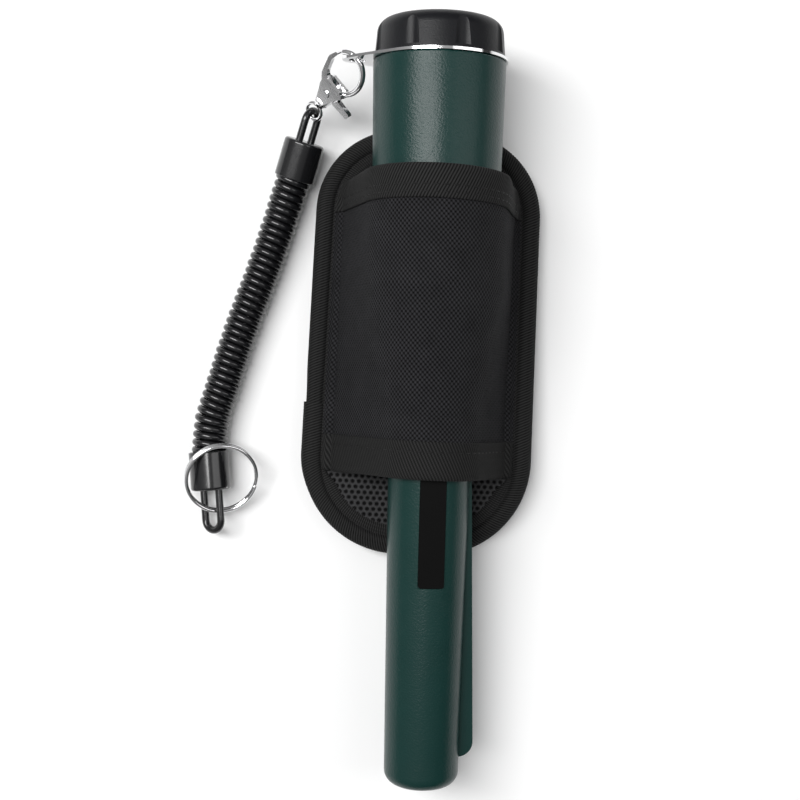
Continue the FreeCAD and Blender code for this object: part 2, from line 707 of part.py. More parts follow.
turned_piece("ferrite_rod", [
    ("0", "-(bobbin_start + 1)"), ("ferrite_radius", "-(bobbin_start + 1)"),
    ("ferrite_radius", "-(bobbin_start + 1 + ferrite_length)"), ("0", "-(bobbin_start + 1 + ferrite_length)"),
], PROBE)
FLANGE = 1.15
turned_piece("coil_bobbin", [
    ("ferrite_radius + 0.05", "-bobbin_start"),
    ("bobbin_radius", "-bobbin_start"),
    ("bobbin_radius", f"-(winding_start - {FLANGE})"),
    ("bobbin_flange", f"-(winding_start - {FLANGE})"),
    ("bobbin_flange", "-winding_start"),
    ("bobbin_radius", "-winding_start"),
    ("bobbin_radius", "-(winding_start + winding_length)"),
    ("bobbin_flange", "-(winding_start + winding_length)"),
    ("bobbin_flange", f"-(winding_start + winding_length + {FLANGE})"),
    ("bobbin_radius", f"-(winding_start + winding_length + {FLANGE})"),
    ("bobbin_radius", "-bobbin_end"),
    ("ferrite_radius + 0.05", "-bobbin_end"),
], PROBE)
turned_piece("search_coil", [
    (f"bobbin_radius + {SEAT_GAP}", f"-(winding_start + {SEAT_GAP})"),
    ("winding_radius", f"-(winding_start + {SEAT_GAP})"),
    ("winding_radius", f"-(winding_start + winding_length - {SEAT_GAP})"),
    (f"bobbin_radius + {SEAT_GAP}", f"-(winding_start + winding_length - {SEAT_GAP})"),
], PROBE)
disc("tip_cushion", "XY_Plane", [("0", "0", "tip_radius - wall - 0.3")], "-(body_length - tip_floor - 0.1)",
     "2.8", PROBE)

LEAD = 0.5
for name, x in (("battery_lead_red", 1.4), ("battery_lead_black", -1.4)):
    top = value("-(battery_level + battery_length + snap_height + 0.5)")
    board_end = value("-board_start")
    lead = bent_wire([Vector(x, 0.8, top), Vector(x * 1.1, 1.2, (top + board_end) / 2),
                      Vector(x * 1.5, 0.8, board_end - 1.5)], LEAD)
    keep(shaped(name, lead), PROBE)
for name, x in (("coil_lead_start", 2.2), ("coil_lead_end", -2.2)):
    board_foot = value("-(board_start + board_length)")
    coil_head = value("-bobbin_start")
    lead = bent_wire([Vector(x, 0.7, board_foot + 4), Vector(x, 1.5, board_foot - 1),
                      Vector(x * 2.6, 1.2, coil_head - 1), Vector(x * 2.6, 0.8, coil_head - 3.4)], LEAD)
    keep(shaped(name, lead), PROBE)


# ---------------------------------------------------------------- battery cap, seal, cushion, lanyard ring

cap = new_body("battery_cap")
seat = "(ring_thickness + 2 * ring_play)"
GROOVE_HALF = 0.95
cap_profile = outline(cap, "Profile", "XZ_Plane", [
    ("0", "cap_height - recess_depth"),
    ("recess_radius", "cap_height - recess_depth"),
    ("recess_radius + 1.2", "cap_height"),
    ("cap_top_radius", "cap_height", "cap_rounding"),
    ("cap_radius", seat, "0.4"),
    ("stub_radius", seat),
    ("stub_radius", f"-(o_ring_level - {GROOVE_HALF})"),
    ("o_ring_radius - o_ring_section", f"-(o_ring_level - {GROOVE_HALF})"),
    ("o_ring_radius - o_ring_section", f"-(o_ring_level + {GROOVE_HALF})"),
    ("stub_radius", f"-(o_ring_level + {GROOVE_HALF})"),
    ("stub_radius", "-seal_depth"),
    ("stub_root", "-seal_depth"),
    ("stub_root", "-stub_depth"),
    ("stub_inside", "-stub_depth"),
    ("stub_inside", "-cap_ceiling"),
    ("0", "-cap_ceiling"),
])
turned(cap, cap_profile)
tooth_base = f"(stub_root - {RIDGE_OVERLAP})"
tooth = outline(cap, "Tooth", "XZ_Plane", [
    (tooth_base, f"-thread_start - {tooth_half(tooth_base)}"),
    ("thread_crest", f"-thread_start - {tooth_half('thread_crest')}"),
    ("thread_crest", f"-thread_start + {tooth_half('thread_crest')}"),
    (tooth_base, f"-thread_start + {tooth_half(tooth_base)}"),
])
helix(cap, "AdditiveHelix", tooth, "thread_pitch", "1.6 * thread_pitch")
FLUTE_STOP = 1.0
flute_centre = "(cap_radius + flute_radius - flute_depth)"
flute_place = (f"{flute_centre} * sin(flute_turn)", f"-{flute_centre} * cos(flute_turn)", "flute_radius")
flute = circles(cap, "Flute", "XY_Plane", [flute_place], "cap_height")
repeated_round(cap, pocketed(cap, flute, f"cap_height - {seat} - {FLUTE_STOP}", "FluteCut"), "flute_count",
               "Flutes")
keep(cap, PROBE)

o_ring = new_body("cap_o_ring")
turned(o_ring, circles(o_ring, "Section", "XZ_Plane",
                       [("o_ring_radius + 0.01", "-o_ring_level", "o_ring_section")]))
keep(o_ring, PROBE)
disc("cap_foam_pad", "XY_Plane", [("0", "0", "foam_radius")], "-(battery_level - 0.1)",
     f"battery_level - 0.1 - cap_ceiling - {SEAT_GAP}", PROBE)

ring = new_body("lanyard_ring")
slope = "((ring_radius - ear_radius) / ear_reach)"
rise = f"sqrt(1 - {slope} * {slope})"
padded(ring, circles(ring, "Band", "XY_Plane", [("0", "0", "ring_radius")], "ring_play"), "ring_thickness")
padded(ring, circles(ring, "Ear", "XY_Plane", [("-ear_reach", "0", "ear_radius")], "ring_play"),
       "ring_thickness", "EarPad")
padded(ring, outline(ring, "Sides", "XY_Plane", [
    (f"-ring_radius * {slope}", f"-ring_radius * {rise}"),
    (f"-ring_radius * {slope}", f"ring_radius * {rise}"),
    (f"-ear_reach - ear_radius * {slope}", f"ear_radius * {rise}"),
    (f"-ear_reach - ear_radius * {slope}", f"-ear_radius * {rise}"),
], "ring_play"), "ring_thickness", "SidesPad")
pocketed(ring, circles(ring, "Holes", "XY_Plane", [("0", "0", "ring_hole"), ("-ear_reach", "0", "ear_hole")],
                       "ring_play + ring_thickness"), "ring_thickness + 1", "HolesCut")
keep(ring, RING)


# ---------------------------------------------------------------- holster

def pad_corners(grow):
    """The pad's outline, this much larger all round."""
    top = f"(pad_top_width / 2 + {grow})"
    bottom = f"(pad_bottom_width / 2 + {grow})"
    end = f"(pad_length / 2 + {grow})"
    round_bottom = f"pad_bottom_corner + {grow}"
    round_top = f"pad_top_corner + {grow}"
    return [(f"-{bottom}", f"-{end}", round_bottom), (bottom, f"-{end}", round_bottom),
            (top, end, round_top), (f"-{top}", end, round_top)]


PAD_THICKNESS = "(2 * cover_thickness + foam_thickness)"
slab("back_cover", "XY_Plane", pad_corners("0"), "pad_back", "cover_thickness", None)
slab("foam_core", "XY_Plane", pad_corners("0"), "pad_back + cover_thickness", "foam_thickness", None)
slab("pad_lining", "XY_Plane", pad_corners("0"), "pad_back + cover_thickness + foam_thickness",
     "cover_thickness", None)
blank = new_body("binding_blank")
padded(blank, outline(blank, "Outer", "XY_Plane", pad_corners("binding_thickness"),
                      "pad_back - binding_thickness"), f"{PAD_THICKNESS} + 2 * binding_thickness")
pocketed(blank, outline(blank, "Opening", "XY_Plane", pad_corners("(-binding_reach)"),
                        f"pad_back + {PAD_THICKNESS} + binding_thickness"),
         f"{PAD_THICKNESS} + 3 * binding_thickness", "OpeningCut")
core = new_body("binding_core")
padded(core, outline(core, "Pad", "XY_Plane", pad_corners("0"), "pad_back"), PAD_THICKNESS)
keep(joined("edge_binding", "Cut", blank, core))

slab("belt_loop", "XY_Plane", [
    ("-loop_width / 2", "-loop_length / 2", "2"), ("loop_width / 2", "-loop_length / 2", "2"),
    ("loop_width / 2", "loop_length / 2", "2"), ("-loop_width / 2", "loop_length / 2", "2"),
], "0", "webbing", None)
for name, low, high in (("belt_loop_upper_end", "loop_length / 2 - loop_fold", "loop_length / 2"),
                        ("belt_loop_lower_end", "-loop_length / 2", "loop_fold - loop_length / 2")):
    slab(name, "XY_Plane", box_corners("-loop_width / 2", low, "loop_width / 2", high), "webbing",
         "pad_back - webbing", None)

POCKET_FLANGE = 1.2
POCKET_STATIONS = 7
FRONT = value(f"pad_back + {PAD_THICKNESS} + 0.02")
RADII = ((0.0, value("head_radius")), (value("head_length"), value("waist_radius")),
         (value("head_length + shoulder_length"), value("wand_radius")),
         (value("body_length"), value("tip_radius")))


def housing_radius(level):
    """The housing's radius this far from its mouth, without the blends."""
    for (s0, r0), (s1, r1) in zip(RADII, RADII[1:]):
        if level <= s1:
            return r0 + (r1 - r0) * (level - s0) / (s1 - s0)
    return RADII[-1][1]


def seam_half(y):
    """The pocket's seam from the middle, drawn in by the pad's round upper corners."""
    rise = y - value("pad_length / 2 - pad_top_corner")
    if rise < 0:
        return value("pocket_half")
    opening = value("pad_top_corner - binding_reach")
    corner = value("pad_top_width / 2 - pad_top_corner") + math.sqrt(opening * opening - rise * rise)
    return min(value("pocket_half"), corner - POCKET_FLANGE - 0.15)


def pocket_edges(y, offset, backwards):
    """Half of the pocket's section: flange, slope, arch round the probe, slope, flange."""
    towards_tip = PROBE.Rotation.multVec(Vector(0, 0, -1))
    level = (y - PROBE.Base.y) / towards_tip.y
    centre = PROBE.Base + towards_tip * level
    share = (y - value("pocket_bottom")) / value("pocket_top - pocket_bottom")
    gap = value("pocket_gap_bottom") + share * value("pocket_gap_top - pocket_gap_bottom")
    radius = housing_radius(level) + gap
    half = seam_half(y)
    bends = []
    for side in (-1, 1):
        dx, dz = side * half - centre.x, FRONT - centre.z
        away = math.acos(radius / math.hypot(dx, dz))
        bends.append(math.atan2(dz, dx) % (2 * math.pi) + side * away)
    left, right = bends[0], bends[1] - 2 * math.pi

    def arch(angle):
        reach = radius + offset
        return Vector(centre.x + reach * math.cos(angle), y, centre.z + reach * math.sin(angle))

    def seam(angle):
        along = centre.x * math.cos(angle) + centre.z * math.sin(angle) + radius + offset
        return Vector((along - (FRONT + offset) * math.sin(angle)) / math.cos(angle), y, FRONT + offset)

    ends = [Vector(side * (half + POCKET_FLANGE), y, FRONT + offset) for side in (-1, 1)]
    points = [ends[0], seam(left), arch(left), arch(right), seam(right), ends[1]]
    crown = arch((left + right) / 2)
    edges = [Part.LineSegment(points[0], points[1]), Part.LineSegment(points[1], points[2]),
             Part.Arc(points[2], crown, points[3]), Part.LineSegment(points[3], points[4]),
             Part.LineSegment(points[4], points[5])]
    shapes = [edge.toShape() for edge in edges]
    return (shapes[::-1] if backwards else shapes), points


def pocket_shell(low, high, inner, outer, stations):
    """The pocket's cloth between two heights and two offsets from its inner face."""
    sections = []
    for i in range(stations):
        y = low + (high - low) * i / (stations - 1)
        outside, outside_points = pocket_edges(y, outer, False)
        inside, inside_points = pocket_edges(y, inner, True)
        caps = [Part.LineSegment(outside_points[-1], inside_points[-1]).toShape(),
                Part.LineSegment(inside_points[0], outside_points[0]).toShape()]
        sections.append(Part.Wire(outside + caps[:1] + inside + caps[1:]))
    return Part.makeLoft(sections, True, False)


cloth = value("pocket_cloth")
hem = value("hem_cloth")
low_edge, high_edge = value("pocket_bottom"), value("pocket_top")
keep(shaped("pocket_panel", pocket_shell(low_edge, high_edge, 0, cloth, POCKET_STATIONS)))
HEM_GAP = 0.01
for name, edge, inward in (("pocket_top_binding", high_edge, -1), ("pocket_bottom_binding", low_edge, 1)):
    tall = inward * value("hem_height")
    under, over = cloth + HEM_GAP, cloth + HEM_GAP + hem
    outside = pocket_shell(min(edge, edge + tall), max(edge, edge + tall), under, over, 3)
    lip_ends = sorted((edge - inward * HEM_GAP, edge - inward * hem))
    lip = pocket_shell(lip_ends[0], lip_ends[1], 0, over, 2)
    bridge_ends = sorted((edge, edge - inward * HEM_GAP))
    bridge = pocket_shell(bridge_ends[0], bridge_ends[1], under, over, 2)
    keep(shaped(name, outside.fuse([bridge, lip]).removeSplitter()))


# ---------------------------------------------------------------- snap hook

GATE_OPENING = 47.0
CLAW_ROOT = -155.0


def claw_point(degrees):
    angle = math.radians(degrees)
    return Vector(value("claw_long") * math.cos(angle), value("claw_wide") * math.sin(angle), 0)


claw_wire = Part.Ellipse(Vector(0, 0, 0), value("claw_long"), value("claw_wide"))
claw_arc = Part.Wire([claw_wire.toShape(math.radians(CLAW_ROOT), math.radians(GATE_OPENING))])
root = math.radians(CLAW_ROOT)
root_direction = Vector(-value("claw_long") * math.sin(root), value("claw_wide") * math.cos(root), 0)
claw = swept(claw_arc, claw_point(CLAW_ROOT), root_direction, value("claw_wire"))
claw_end = Part.makeSphere(value("claw_wire"), claw_point(GATE_OPENING))

ALONG_HOOK = Rotation(Vector(0, 1, 0), 90)
CHEEK_INNER = 0.95
CHEEK_OUTER = 2.1
cheeks = new_body("hook_cheeks")
padded(cheeks, outline(cheeks, "Cheek", "XY_Plane", [
    ("-14.0", "-2.2", "0.4"), ("-9.6", "-3.5", "3"), ("-4.9", "-5.6", "1.6"), ("-5.2", "4.0", "1.4"),
    ("-9.6", "3.5", "3"), ("-14.0", "2.2", "0.4")], f"-{CHEEK_OUTER}"), f"{2 * CHEEK_OUTER}", "CheekPad")
pocketed(cheeks, outline(cheeks, "Slot", "XY_Plane", box_corners("-12.9", "-6", "-4", "6"), f"{CHEEK_INNER}"),
         f"{2 * CHEEK_INNER}", "SlotCut")
padded(cheeks, outline(cheeks, "Web", "XY_Plane", box_corners("-7.4", "-4.0", "-5.3", "-1.6"),
                       f"-{CHEEK_INNER + 0.1}"), f"{2 * CHEEK_INNER + 0.2}", "WebPad")
pocketed(cheeks, circles(cheeks, "RivetHole", "XY_Plane", [("-rivet_back", "0", "0.83")], "3"), "6",
         "RivetCut")
drop = new_body("hook_drop")
turned(drop, outline(drop, "Drop", "XZ_Plane", [
    ("0", "-14.4"), ("2.3", "-14.4"), ("3.6", "-9.6", "4"), ("5.3", "-5.6", "1.2"), ("4.6", "-4.2", "1"),
    ("0", "-4.2")]))
drop.Placement = Placement(Vector(0, 0, 0), ALONG_HOOK)
collar = new_body("hook_collar")
turned(collar, outline(collar, "Collar", "XZ_Plane", [
    ("0", "-15.8"), ("1.8", "-15.8", "0.3"), ("2.35", "-14.3", "0.2"), ("2.05", "-14.1"), ("2.05", "-13.8"),
    ("2.45", "-13.6", "0.15"), ("2.45", "-12.9"), ("0", "-12.9")]))
collar.Placement = Placement(Vector(0, 0, 0), ALONG_HOOK)
neck = new_body("hook_neck")
padded(neck, circles(neck, "Bore", "YZ_Plane", [("0", "0", "1.0")], "-16"), "2.5", "BorePad")
padded(neck, circles(neck, "Chamber", "YZ_Plane", [("0", "0", "1.6")], "-14.5"), "2", "ChamberPad")
claw_parts = [shaped("claw_wire_bend", claw), shaped("claw_wire_end", claw_end)]
rounded_cheeks = joined("rounded_cheeks", "MultiCommon", cheeks, drop)
hook_solid = joined("hook_solid", "MultiFuse", rounded_cheeks, collar, *claw_parts)
keep(joined("hook_body", "Cut", hook_solid, neck), HOOK)

trigger = new_body("hook_trigger")
padded(trigger, outline(trigger, "Lever", "XY_Plane", [
    ("-11.6", "1.6", "0.8"), ("-6.2", "5.7", "2"), ("0.2", "7.1", "2"), ("3.1", "6.1", "0.4"),
    ("3.45", "5.0", "0.3"), ("0.0", "5.7", "2"), ("-5.0", "4.3", "2"), ("-7.6", "-0.5", "1"),
    ("-8.7", "-2.4", "1"),
    ("-8.8", "-9.6", "0.7"), ("-10.7", "-9.6", "0.7"), ("-11.3", "-2.0", "1")], "-0.8"), "1.6", "LeverPad")
pocketed(trigger, circles(trigger, "RivetHole", "XY_Plane", [("-rivet_back", "0", "0.86")], "0.8"), "2",
         "RivetCut")
pocketed(trigger, circles(trigger, "SpringSeat", "XY_Plane", [("-rivet_back", "0", "1.75")], "0.8"), "0.7",
         "SeatCut")
keep(trigger, HOOK)

SPRING_WIRE = 0.1
SPRING_PITCH = 0.23
SPRING_HEIGHT = 0.48
SPRING_RADIUS = 1.35
SPRING_LEVEL = 0.24
spring_helix = Part.makeHelix(SPRING_PITCH, SPRING_HEIGHT, SPRING_RADIUS)
spring_helix.translate(Vector(value("-rivet_back"), 0, SPRING_LEVEL))
spring_start = Vector(value("-rivet_back") + SPRING_RADIUS, 0, SPRING_LEVEL)
spring = swept(Part.Wire(spring_helix.Edges), spring_start, Vector(0, 1, 0), SPRING_WIRE)
keep(shaped("trigger_spring", spring), HOOK)

rivet = new_body("trigger_rivet")
padded(rivet, circles(rivet, "Shank", "XY_Plane", [("-rivet_back", "0", "0.8")], "-2.5"), "5", "ShankPad")
for head, low in (("HeadLow", "-2.55"), ("HeadHigh", "2.12")):
    padded(rivet, circles(rivet, head, "XY_Plane", [("-rivet_back", "0", "1.3")], low), "0.43", f"{head}Pad")
keep(rivet, HOOK)

eye_ring = Part.makeTorus(value("eye_radius"), value("eye_wire"), Vector(value("-eye_back"), 0, 0))
eye_stem = Part.makeCylinder(0.9, 3.3, Vector(-16.7, 0, 0), Vector(1, 0, 0))
eye_head = Part.makeCylinder(1.45, 0.8, Vector(-14.2, 0, 0), Vector(1, 0, 0))
keep(shaped("swivel_eye", eye_ring.fuse([eye_stem, eye_head]).removeSplitter()), HOOK)


# ---------------------------------------------------------------- coiled cord, sleeves, loops, key ring

def end_sleeve(label, frame):
    """A moulded sleeve, its loop face at z=0 and the coil's socket below."""
    body = new_body(label)
    turned(body, outline(body, "Profile", "XZ_Plane", [
        ("0", "0"), ("sleeve_radius", "0", "0.9"), ("sleeve_radius", "-sleeve_length", "0.3"),
        ("sleeve_bore", "-sleeve_length"), ("sleeve_bore", "-sleeve_floor"), ("0", "-sleeve_floor")]))
    pocketed(body, circles(body, "LegHoles", "XY_Plane", [("-loop_half", "0", "cord_wire + 0.05"),
                                                          ("loop_half", "0", "cord_wire + 0.05")]),
             "sleeve_floor + 1", "LegCut")
    return keep(body, frame)


def cord_loop(label, crown, frame):
    """A loop of cord whose crown, middle of the wire, is this far from the sleeve."""
    half = value("loop_half")
    foot = -value("sleeve_floor") + 0.3
    bend = crown - half
    legs = [Part.LineSegment(Vector(-half, 0, foot), Vector(-half, 0, bend)).toShape(),
            Part.Arc(Vector(-half, 0, bend), Vector(0, 0, crown), Vector(half, 0, bend)).toShape(),
            Part.LineSegment(Vector(half, 0, bend), Vector(half, 0, foot)).toShape()]
    shape = swept(Part.Wire(legs), Vector(-half, 0, foot), Vector(0, 0, 1), value("cord_wire"))
    return keep(shaped(label, shape), frame)


end_sleeve("top_sleeve", TOP_CORD)
cord_loop("top_loop", (EYE - TOP_CORD.Base).Length, TOP_CORD)
end_sleeve("bottom_sleeve", BOTTOM_CORD)
cord_loop("bottom_loop", value("loop_reach"), BOTTOM_CORD)

SOCKET_RUN = 7.0
COIL_BENDS = (Vector(-47.1, 32.9, 6.2), Vector(-52.9, 14.0, 5.8), Vector(-59.0, -5.0, 5.8),
              Vector(-63.3, -22.0, 5.9))
lower_axis = BOTTOM_CORD.Rotation.multVec(Vector(0, 0, 1))
upper_mouth = TOP_CORD.multVec(Vector(0, 0, -value("sleeve_length")))
lower_mouth = BOTTOM_CORD.multVec(Vector(0, 0, -value("sleeve_length")))
centre_line = Part.BSplineCurve()
centre_line.interpolate(Points=[upper_mouth, *COIL_BENDS, lower_mouth], InitialTangent=-UPPER_AXIS * 20,
                        FinalTangent=lower_axis * 20)
TURN_STEPS = 12


def coil_centre(distance):
    """The coil's middle and heading this far from its upper end, straight inside both sockets."""
    if distance < SOCKET_RUN:
        return upper_mouth + UPPER_AXIS * (SOCKET_RUN - distance), -UPPER_AXIS
    rest = distance - SOCKET_RUN - centre_line.length()
    if rest > 0:
        return lower_mouth + lower_axis * rest, lower_axis
    parameter = centre_line.parameterAtDistance(distance - SOCKET_RUN, centre_line.FirstParameter)
    return centre_line.value(parameter), centre_line.tangent(parameter)[0]


coil_length = centre_line.length() + 2 * SOCKET_RUN
turns = round(coil_length / value("coil_pitch"))
coil_points = []
for step in range(turns * TURN_STEPS + 1):
    middle, heading = coil_centre(coil_length * step / (turns * TURN_STEPS))
    sideways = heading.cross(Vector(0, 0, 1)).normalize()
    upwards = sideways.cross(heading)
    angle = 2 * math.pi * step / TURN_STEPS
    away = sideways * math.cos(angle) + upwards * math.sin(angle)
    coil_points.append(middle + away * value("coil_radius"))
keep(shaped("coil_cord", bent_wire(coil_points, value("cord_wire"))))

# The split ring: two turns of wire, one on the other, with a short crossing between them.
KEY_CENTRE = Vector(-60.49, -45.07, 9.07)
KEY_TILT = Vector(0.299, -0.368, 1)
KEY_WIRE = 0.6
KEY_STEPS = 24
CROSSING_STEPS = 5
TURN_CLEARANCE = 1.02
key_points = []
for step in range(2 * KEY_STEPS):
    angle = 2 * math.pi * step / KEY_STEPS
    share = min(1.0, max(0.0, (step - KEY_STEPS + 3) / CROSSING_STEPS))
    level = (share - 0.5) * 2 * KEY_WIRE * TURN_CLEARANCE
    around = Vector(math.cos(angle), math.sin(angle), 0) * value("key_ring_radius")
    key_points.append(around + Vector(0, 0, level))
key_frame = Placement(KEY_CENTRE, Rotation(Vector(0, 0, 1), KEY_TILT.normalize()))
keep(shaped("key_ring", bent_wire(key_points, KEY_WIRE)), key_frame)


# ---------------------------------------------------------------- checks and files

doc.removeObject("Scratch")
doc.recompute()
for item in doc.Objects:
    if "Invalid" in item.State or "Error" in item.State:
        raise RuntimeError(f"{item.Label}: {item.State}")
for item in SUBPARTS:
    if item.Shape.isNull() or not item.Shape.isValid() or not item.Shape.Solids:
        raise RuntimeError(f"{item.Label}: no valid solid")
os.makedirs(OUT, exist_ok=True)
for item in SUBPARTS:
    item.Shape.exportStep(f"{OUT}/{item.Label}.step")
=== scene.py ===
"""Looks for the pinpointer probe kit: materials on the CAD frame, sewn cloth pieces, light and camera.

Lengths inside the shape functions are in millimetres; meshes are written in metres.
"""
import json
import math

import bmesh
import bpy
import numpy as np
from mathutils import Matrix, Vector


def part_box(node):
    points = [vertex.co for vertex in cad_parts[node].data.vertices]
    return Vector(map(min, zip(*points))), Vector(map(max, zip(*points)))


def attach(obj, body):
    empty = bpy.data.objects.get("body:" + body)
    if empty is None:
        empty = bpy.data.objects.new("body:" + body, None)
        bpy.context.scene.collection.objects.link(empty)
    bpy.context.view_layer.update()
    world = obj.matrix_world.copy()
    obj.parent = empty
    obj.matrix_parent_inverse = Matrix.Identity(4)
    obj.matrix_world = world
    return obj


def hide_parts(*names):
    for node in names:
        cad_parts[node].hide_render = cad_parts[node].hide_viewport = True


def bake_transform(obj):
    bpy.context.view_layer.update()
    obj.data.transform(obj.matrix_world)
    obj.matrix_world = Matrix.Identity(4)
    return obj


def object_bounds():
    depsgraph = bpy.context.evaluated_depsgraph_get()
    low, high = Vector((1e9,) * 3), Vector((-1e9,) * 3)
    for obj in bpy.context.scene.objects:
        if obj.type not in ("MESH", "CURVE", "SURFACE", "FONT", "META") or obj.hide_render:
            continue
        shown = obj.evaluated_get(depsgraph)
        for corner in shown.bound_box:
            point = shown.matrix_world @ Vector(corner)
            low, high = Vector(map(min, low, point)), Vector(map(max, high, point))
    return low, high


MM = 0.001

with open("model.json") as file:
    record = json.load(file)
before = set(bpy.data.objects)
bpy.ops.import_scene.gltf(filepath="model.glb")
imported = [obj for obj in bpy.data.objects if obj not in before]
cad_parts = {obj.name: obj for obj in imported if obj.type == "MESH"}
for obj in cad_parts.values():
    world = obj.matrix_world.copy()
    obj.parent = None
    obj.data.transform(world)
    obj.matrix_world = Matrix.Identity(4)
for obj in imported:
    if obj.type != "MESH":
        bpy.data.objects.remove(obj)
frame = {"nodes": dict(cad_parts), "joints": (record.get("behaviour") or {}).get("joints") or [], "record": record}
cad_low, cad_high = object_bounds()
joints = {joint["name"]: joint for joint in frame["joints"]}


def box_mm(node):
    """A CAD node's corners as two arrays in millimetres."""
    low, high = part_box(node)
    return np.array(low) / MM, np.array(high) / MM


def node_points(node):
    """A CAD node's vertices in millimetres."""
    return np.array([vertex.co for vertex in frame["nodes"][node].data.vertices]) / MM


# ---------------------------------------------------------------- mesh helpers

def grid_faces(rows, columns, wrap_columns=False, flip=False):
    """Quads over a grid of points, numbered row by row."""
    across = columns if wrap_columns else columns - 1
    row, column = np.meshgrid(np.arange(rows - 1), np.arange(across), indexing="ij")
    following = (column + 1) % columns
    corners = [row * columns + column, row * columns + following,
               (row + 1) * columns + following, (row + 1) * columns + column]
    quads = np.stack(corners, -1).reshape(-1, 4)
    return quads[:, ::-1] if flip else quads


def turn_outwards(mesh):
    """Reverses the faces of a closed mesh that look inwards."""
    shape = bmesh.new()
    shape.from_mesh(mesh)
    inside_out = shape.calc_volume(signed=True) < 0
    shape.free()
    if inside_out:
        mesh.flip_normals()


def make_object(name, points, faces, cloth=None, closed=False):
    """A smooth mesh object from points in millimetres.

    cloth holds, for each point, two weave coordinates and how high its thread stands, from 0 to 1; most cloth
    materials paint highlight on the high places and shade in the low ones from that height.
    """
    mesh = bpy.data.meshes.new(name)
    mesh.from_pydata((np.asarray(points) * MM).tolist(), [], faces)
    mesh.polygons.foreach_set("use_smooth", [True] * len(mesh.polygons))
    if cloth is not None:
        layer = mesh.attributes.new("cloth", "FLOAT_VECTOR", "POINT")
        layer.data.foreach_set("vector", np.ascontiguousarray(cloth, np.float32).ravel())
    mesh.update()
    if closed:
        turn_outwards(mesh)
    made = bpy.data.objects.new(name, mesh)
    bpy.context.scene.collection.objects.link(made)
    return made


def grid_object(name, points, cloth=None, wrap_columns=False, flip=False, capped=False):
    """An object over an array of rows x columns x 3."""
    rows, columns = points.shape[:2]
    faces = grid_faces(rows, columns, wrap_columns, flip).tolist()
    if capped:
        first = list(range(columns))
        last = [(rows - 1) * columns + i for i in range(columns)]
        faces.append(first if flip else first[::-1])
        faces.append(last[::-1] if flip else last)
    flat_cloth = None if cloth is None else cloth.reshape(-1, 3)
    return make_object(name, points.reshape(-1, 3), faces, flat_cloth, closed=capped)


def resample(points, count):
    """Points at even distances along an open line."""
    steps = np.linalg.norm(np.diff(points, axis=0), axis=1)
    run = np.concatenate([[0], np.cumsum(steps)])
    wanted = np.linspace(0, run[-1], count)
    return np.stack([np.interp(wanted, run, points[:, i]) for i in range(points.shape[1])], -1)


def curve_through(points, count):
    """An even, smooth line through the points."""
    points = np.asarray(points, float)
    padded = np.concatenate([[2 * points[0] - points[1]], points, [2 * points[-1] - points[-2]]])
    t = np.linspace(0, 1, 24, endpoint=False)[:, None]
    pieces = []
    for p0, p1, p2, p3 in zip(padded, padded[1:], padded[2:], padded[3:]):
        pieces.append(0.5 * (2 * p1 + (p2 - p0) * t + (2 * p0 - 5 * p1 + 4 * p2 - p3) * t ** 2
                             + (3 * p1 - p0 - 3 * p2 + p3) * t ** 3))
    pieces.append(points[-1:])
    return resample(np.concatenate(pieces), count)


def smooth_step(value, low, high):
    """0 below low, 1 above high, and a soft slope between them."""
    share = np.clip((value - low) / (high - low), 0, 1)
    return share * share * (3 - 2 * share)


def grid_normals(points):
    """Unit normals of a grid of points."""
    down = np.gradient(points, axis=0)
    across = np.gradient(points, axis=1)
    normals = np.cross(across, down)
    return normals / np.maximum(np.linalg.norm(normals, axis=-1, keepdims=True), 1e-9)


def enlarge(values, rows, columns):
    """A coarse grid of vectors brought to rows x columns by cubic interpolation."""
    for axis, count in ((0, rows), (1, columns)):
        values = np.moveaxis(values, axis, 0)
        place = np.linspace(0, len(values) - 1, count)
        base = np.clip(place.astype(int), 0, len(values) - 2)
        t = (place - base).reshape(-1, 1, 1)
        last = len(values) - 1
        p0, p1, p2, p3 = (values[np.clip(base + i, 0, last)] for i in (-1, 0, 1, 2))
        values = 0.5 * (2 * p1 + (p2 - p0) * t + (2 * p0 - 5 * p1 + 4 * p2 - p3) * t ** 2
                        + (3 * p1 - p0 - 3 * p2 + p3) * t ** 3)
        values = np.moveaxis(values, 0, axis)
    return values


def stitches(name, line, up, length, spacing, radius):
    """A row of sewn thread: one short rounded stitch after another along a line."""
    run = np.linalg.norm(np.diff(line, axis=0), axis=1).sum()
    count = max(2, int(run / spacing))
    places = resample(np.concatenate([line, up], axis=1), count * 2 + 1)
    sides, rings = 6, 5
    around = np.linspace(0, 2 * math.pi, sides, endpoint=False)
    points, faces = [], []
    for middle, before, after in zip(places[1::2], places[0::2], places[2::2]):
        heading = after[:3] - before[:3]
        heading /= np.linalg.norm(heading)
        lift = middle[3:] - heading * np.dot(middle[3:], heading)
        lift /= np.linalg.norm(lift)
        side = np.cross(heading, lift)
        for ring in range(rings):
            share = ring / (rings - 1) * 2 - 1
            width = radius * (1 - abs(share) ** 3 * 0.6)
            sink = -radius * 0.9 * share * share
            centre = middle[:3] + heading * share * length / 2 + lift * sink
            for angle in around:
                points.append(centre + (side * math.cos(angle) + lift * math.sin(angle)) * width)
        start = len(points) - sides * rings
        faces += (grid_faces(rings, sides, True) + start).tolist()
        faces.append([start + i for i in range(sides)][::-1])
        faces.append([start + sides * (rings - 1) + i for i in range(sides)])
    return make_object(name, np.array(points), faces, closed=True)


# ---------------------------------------------------------------- the probe's axis and the holster's plan

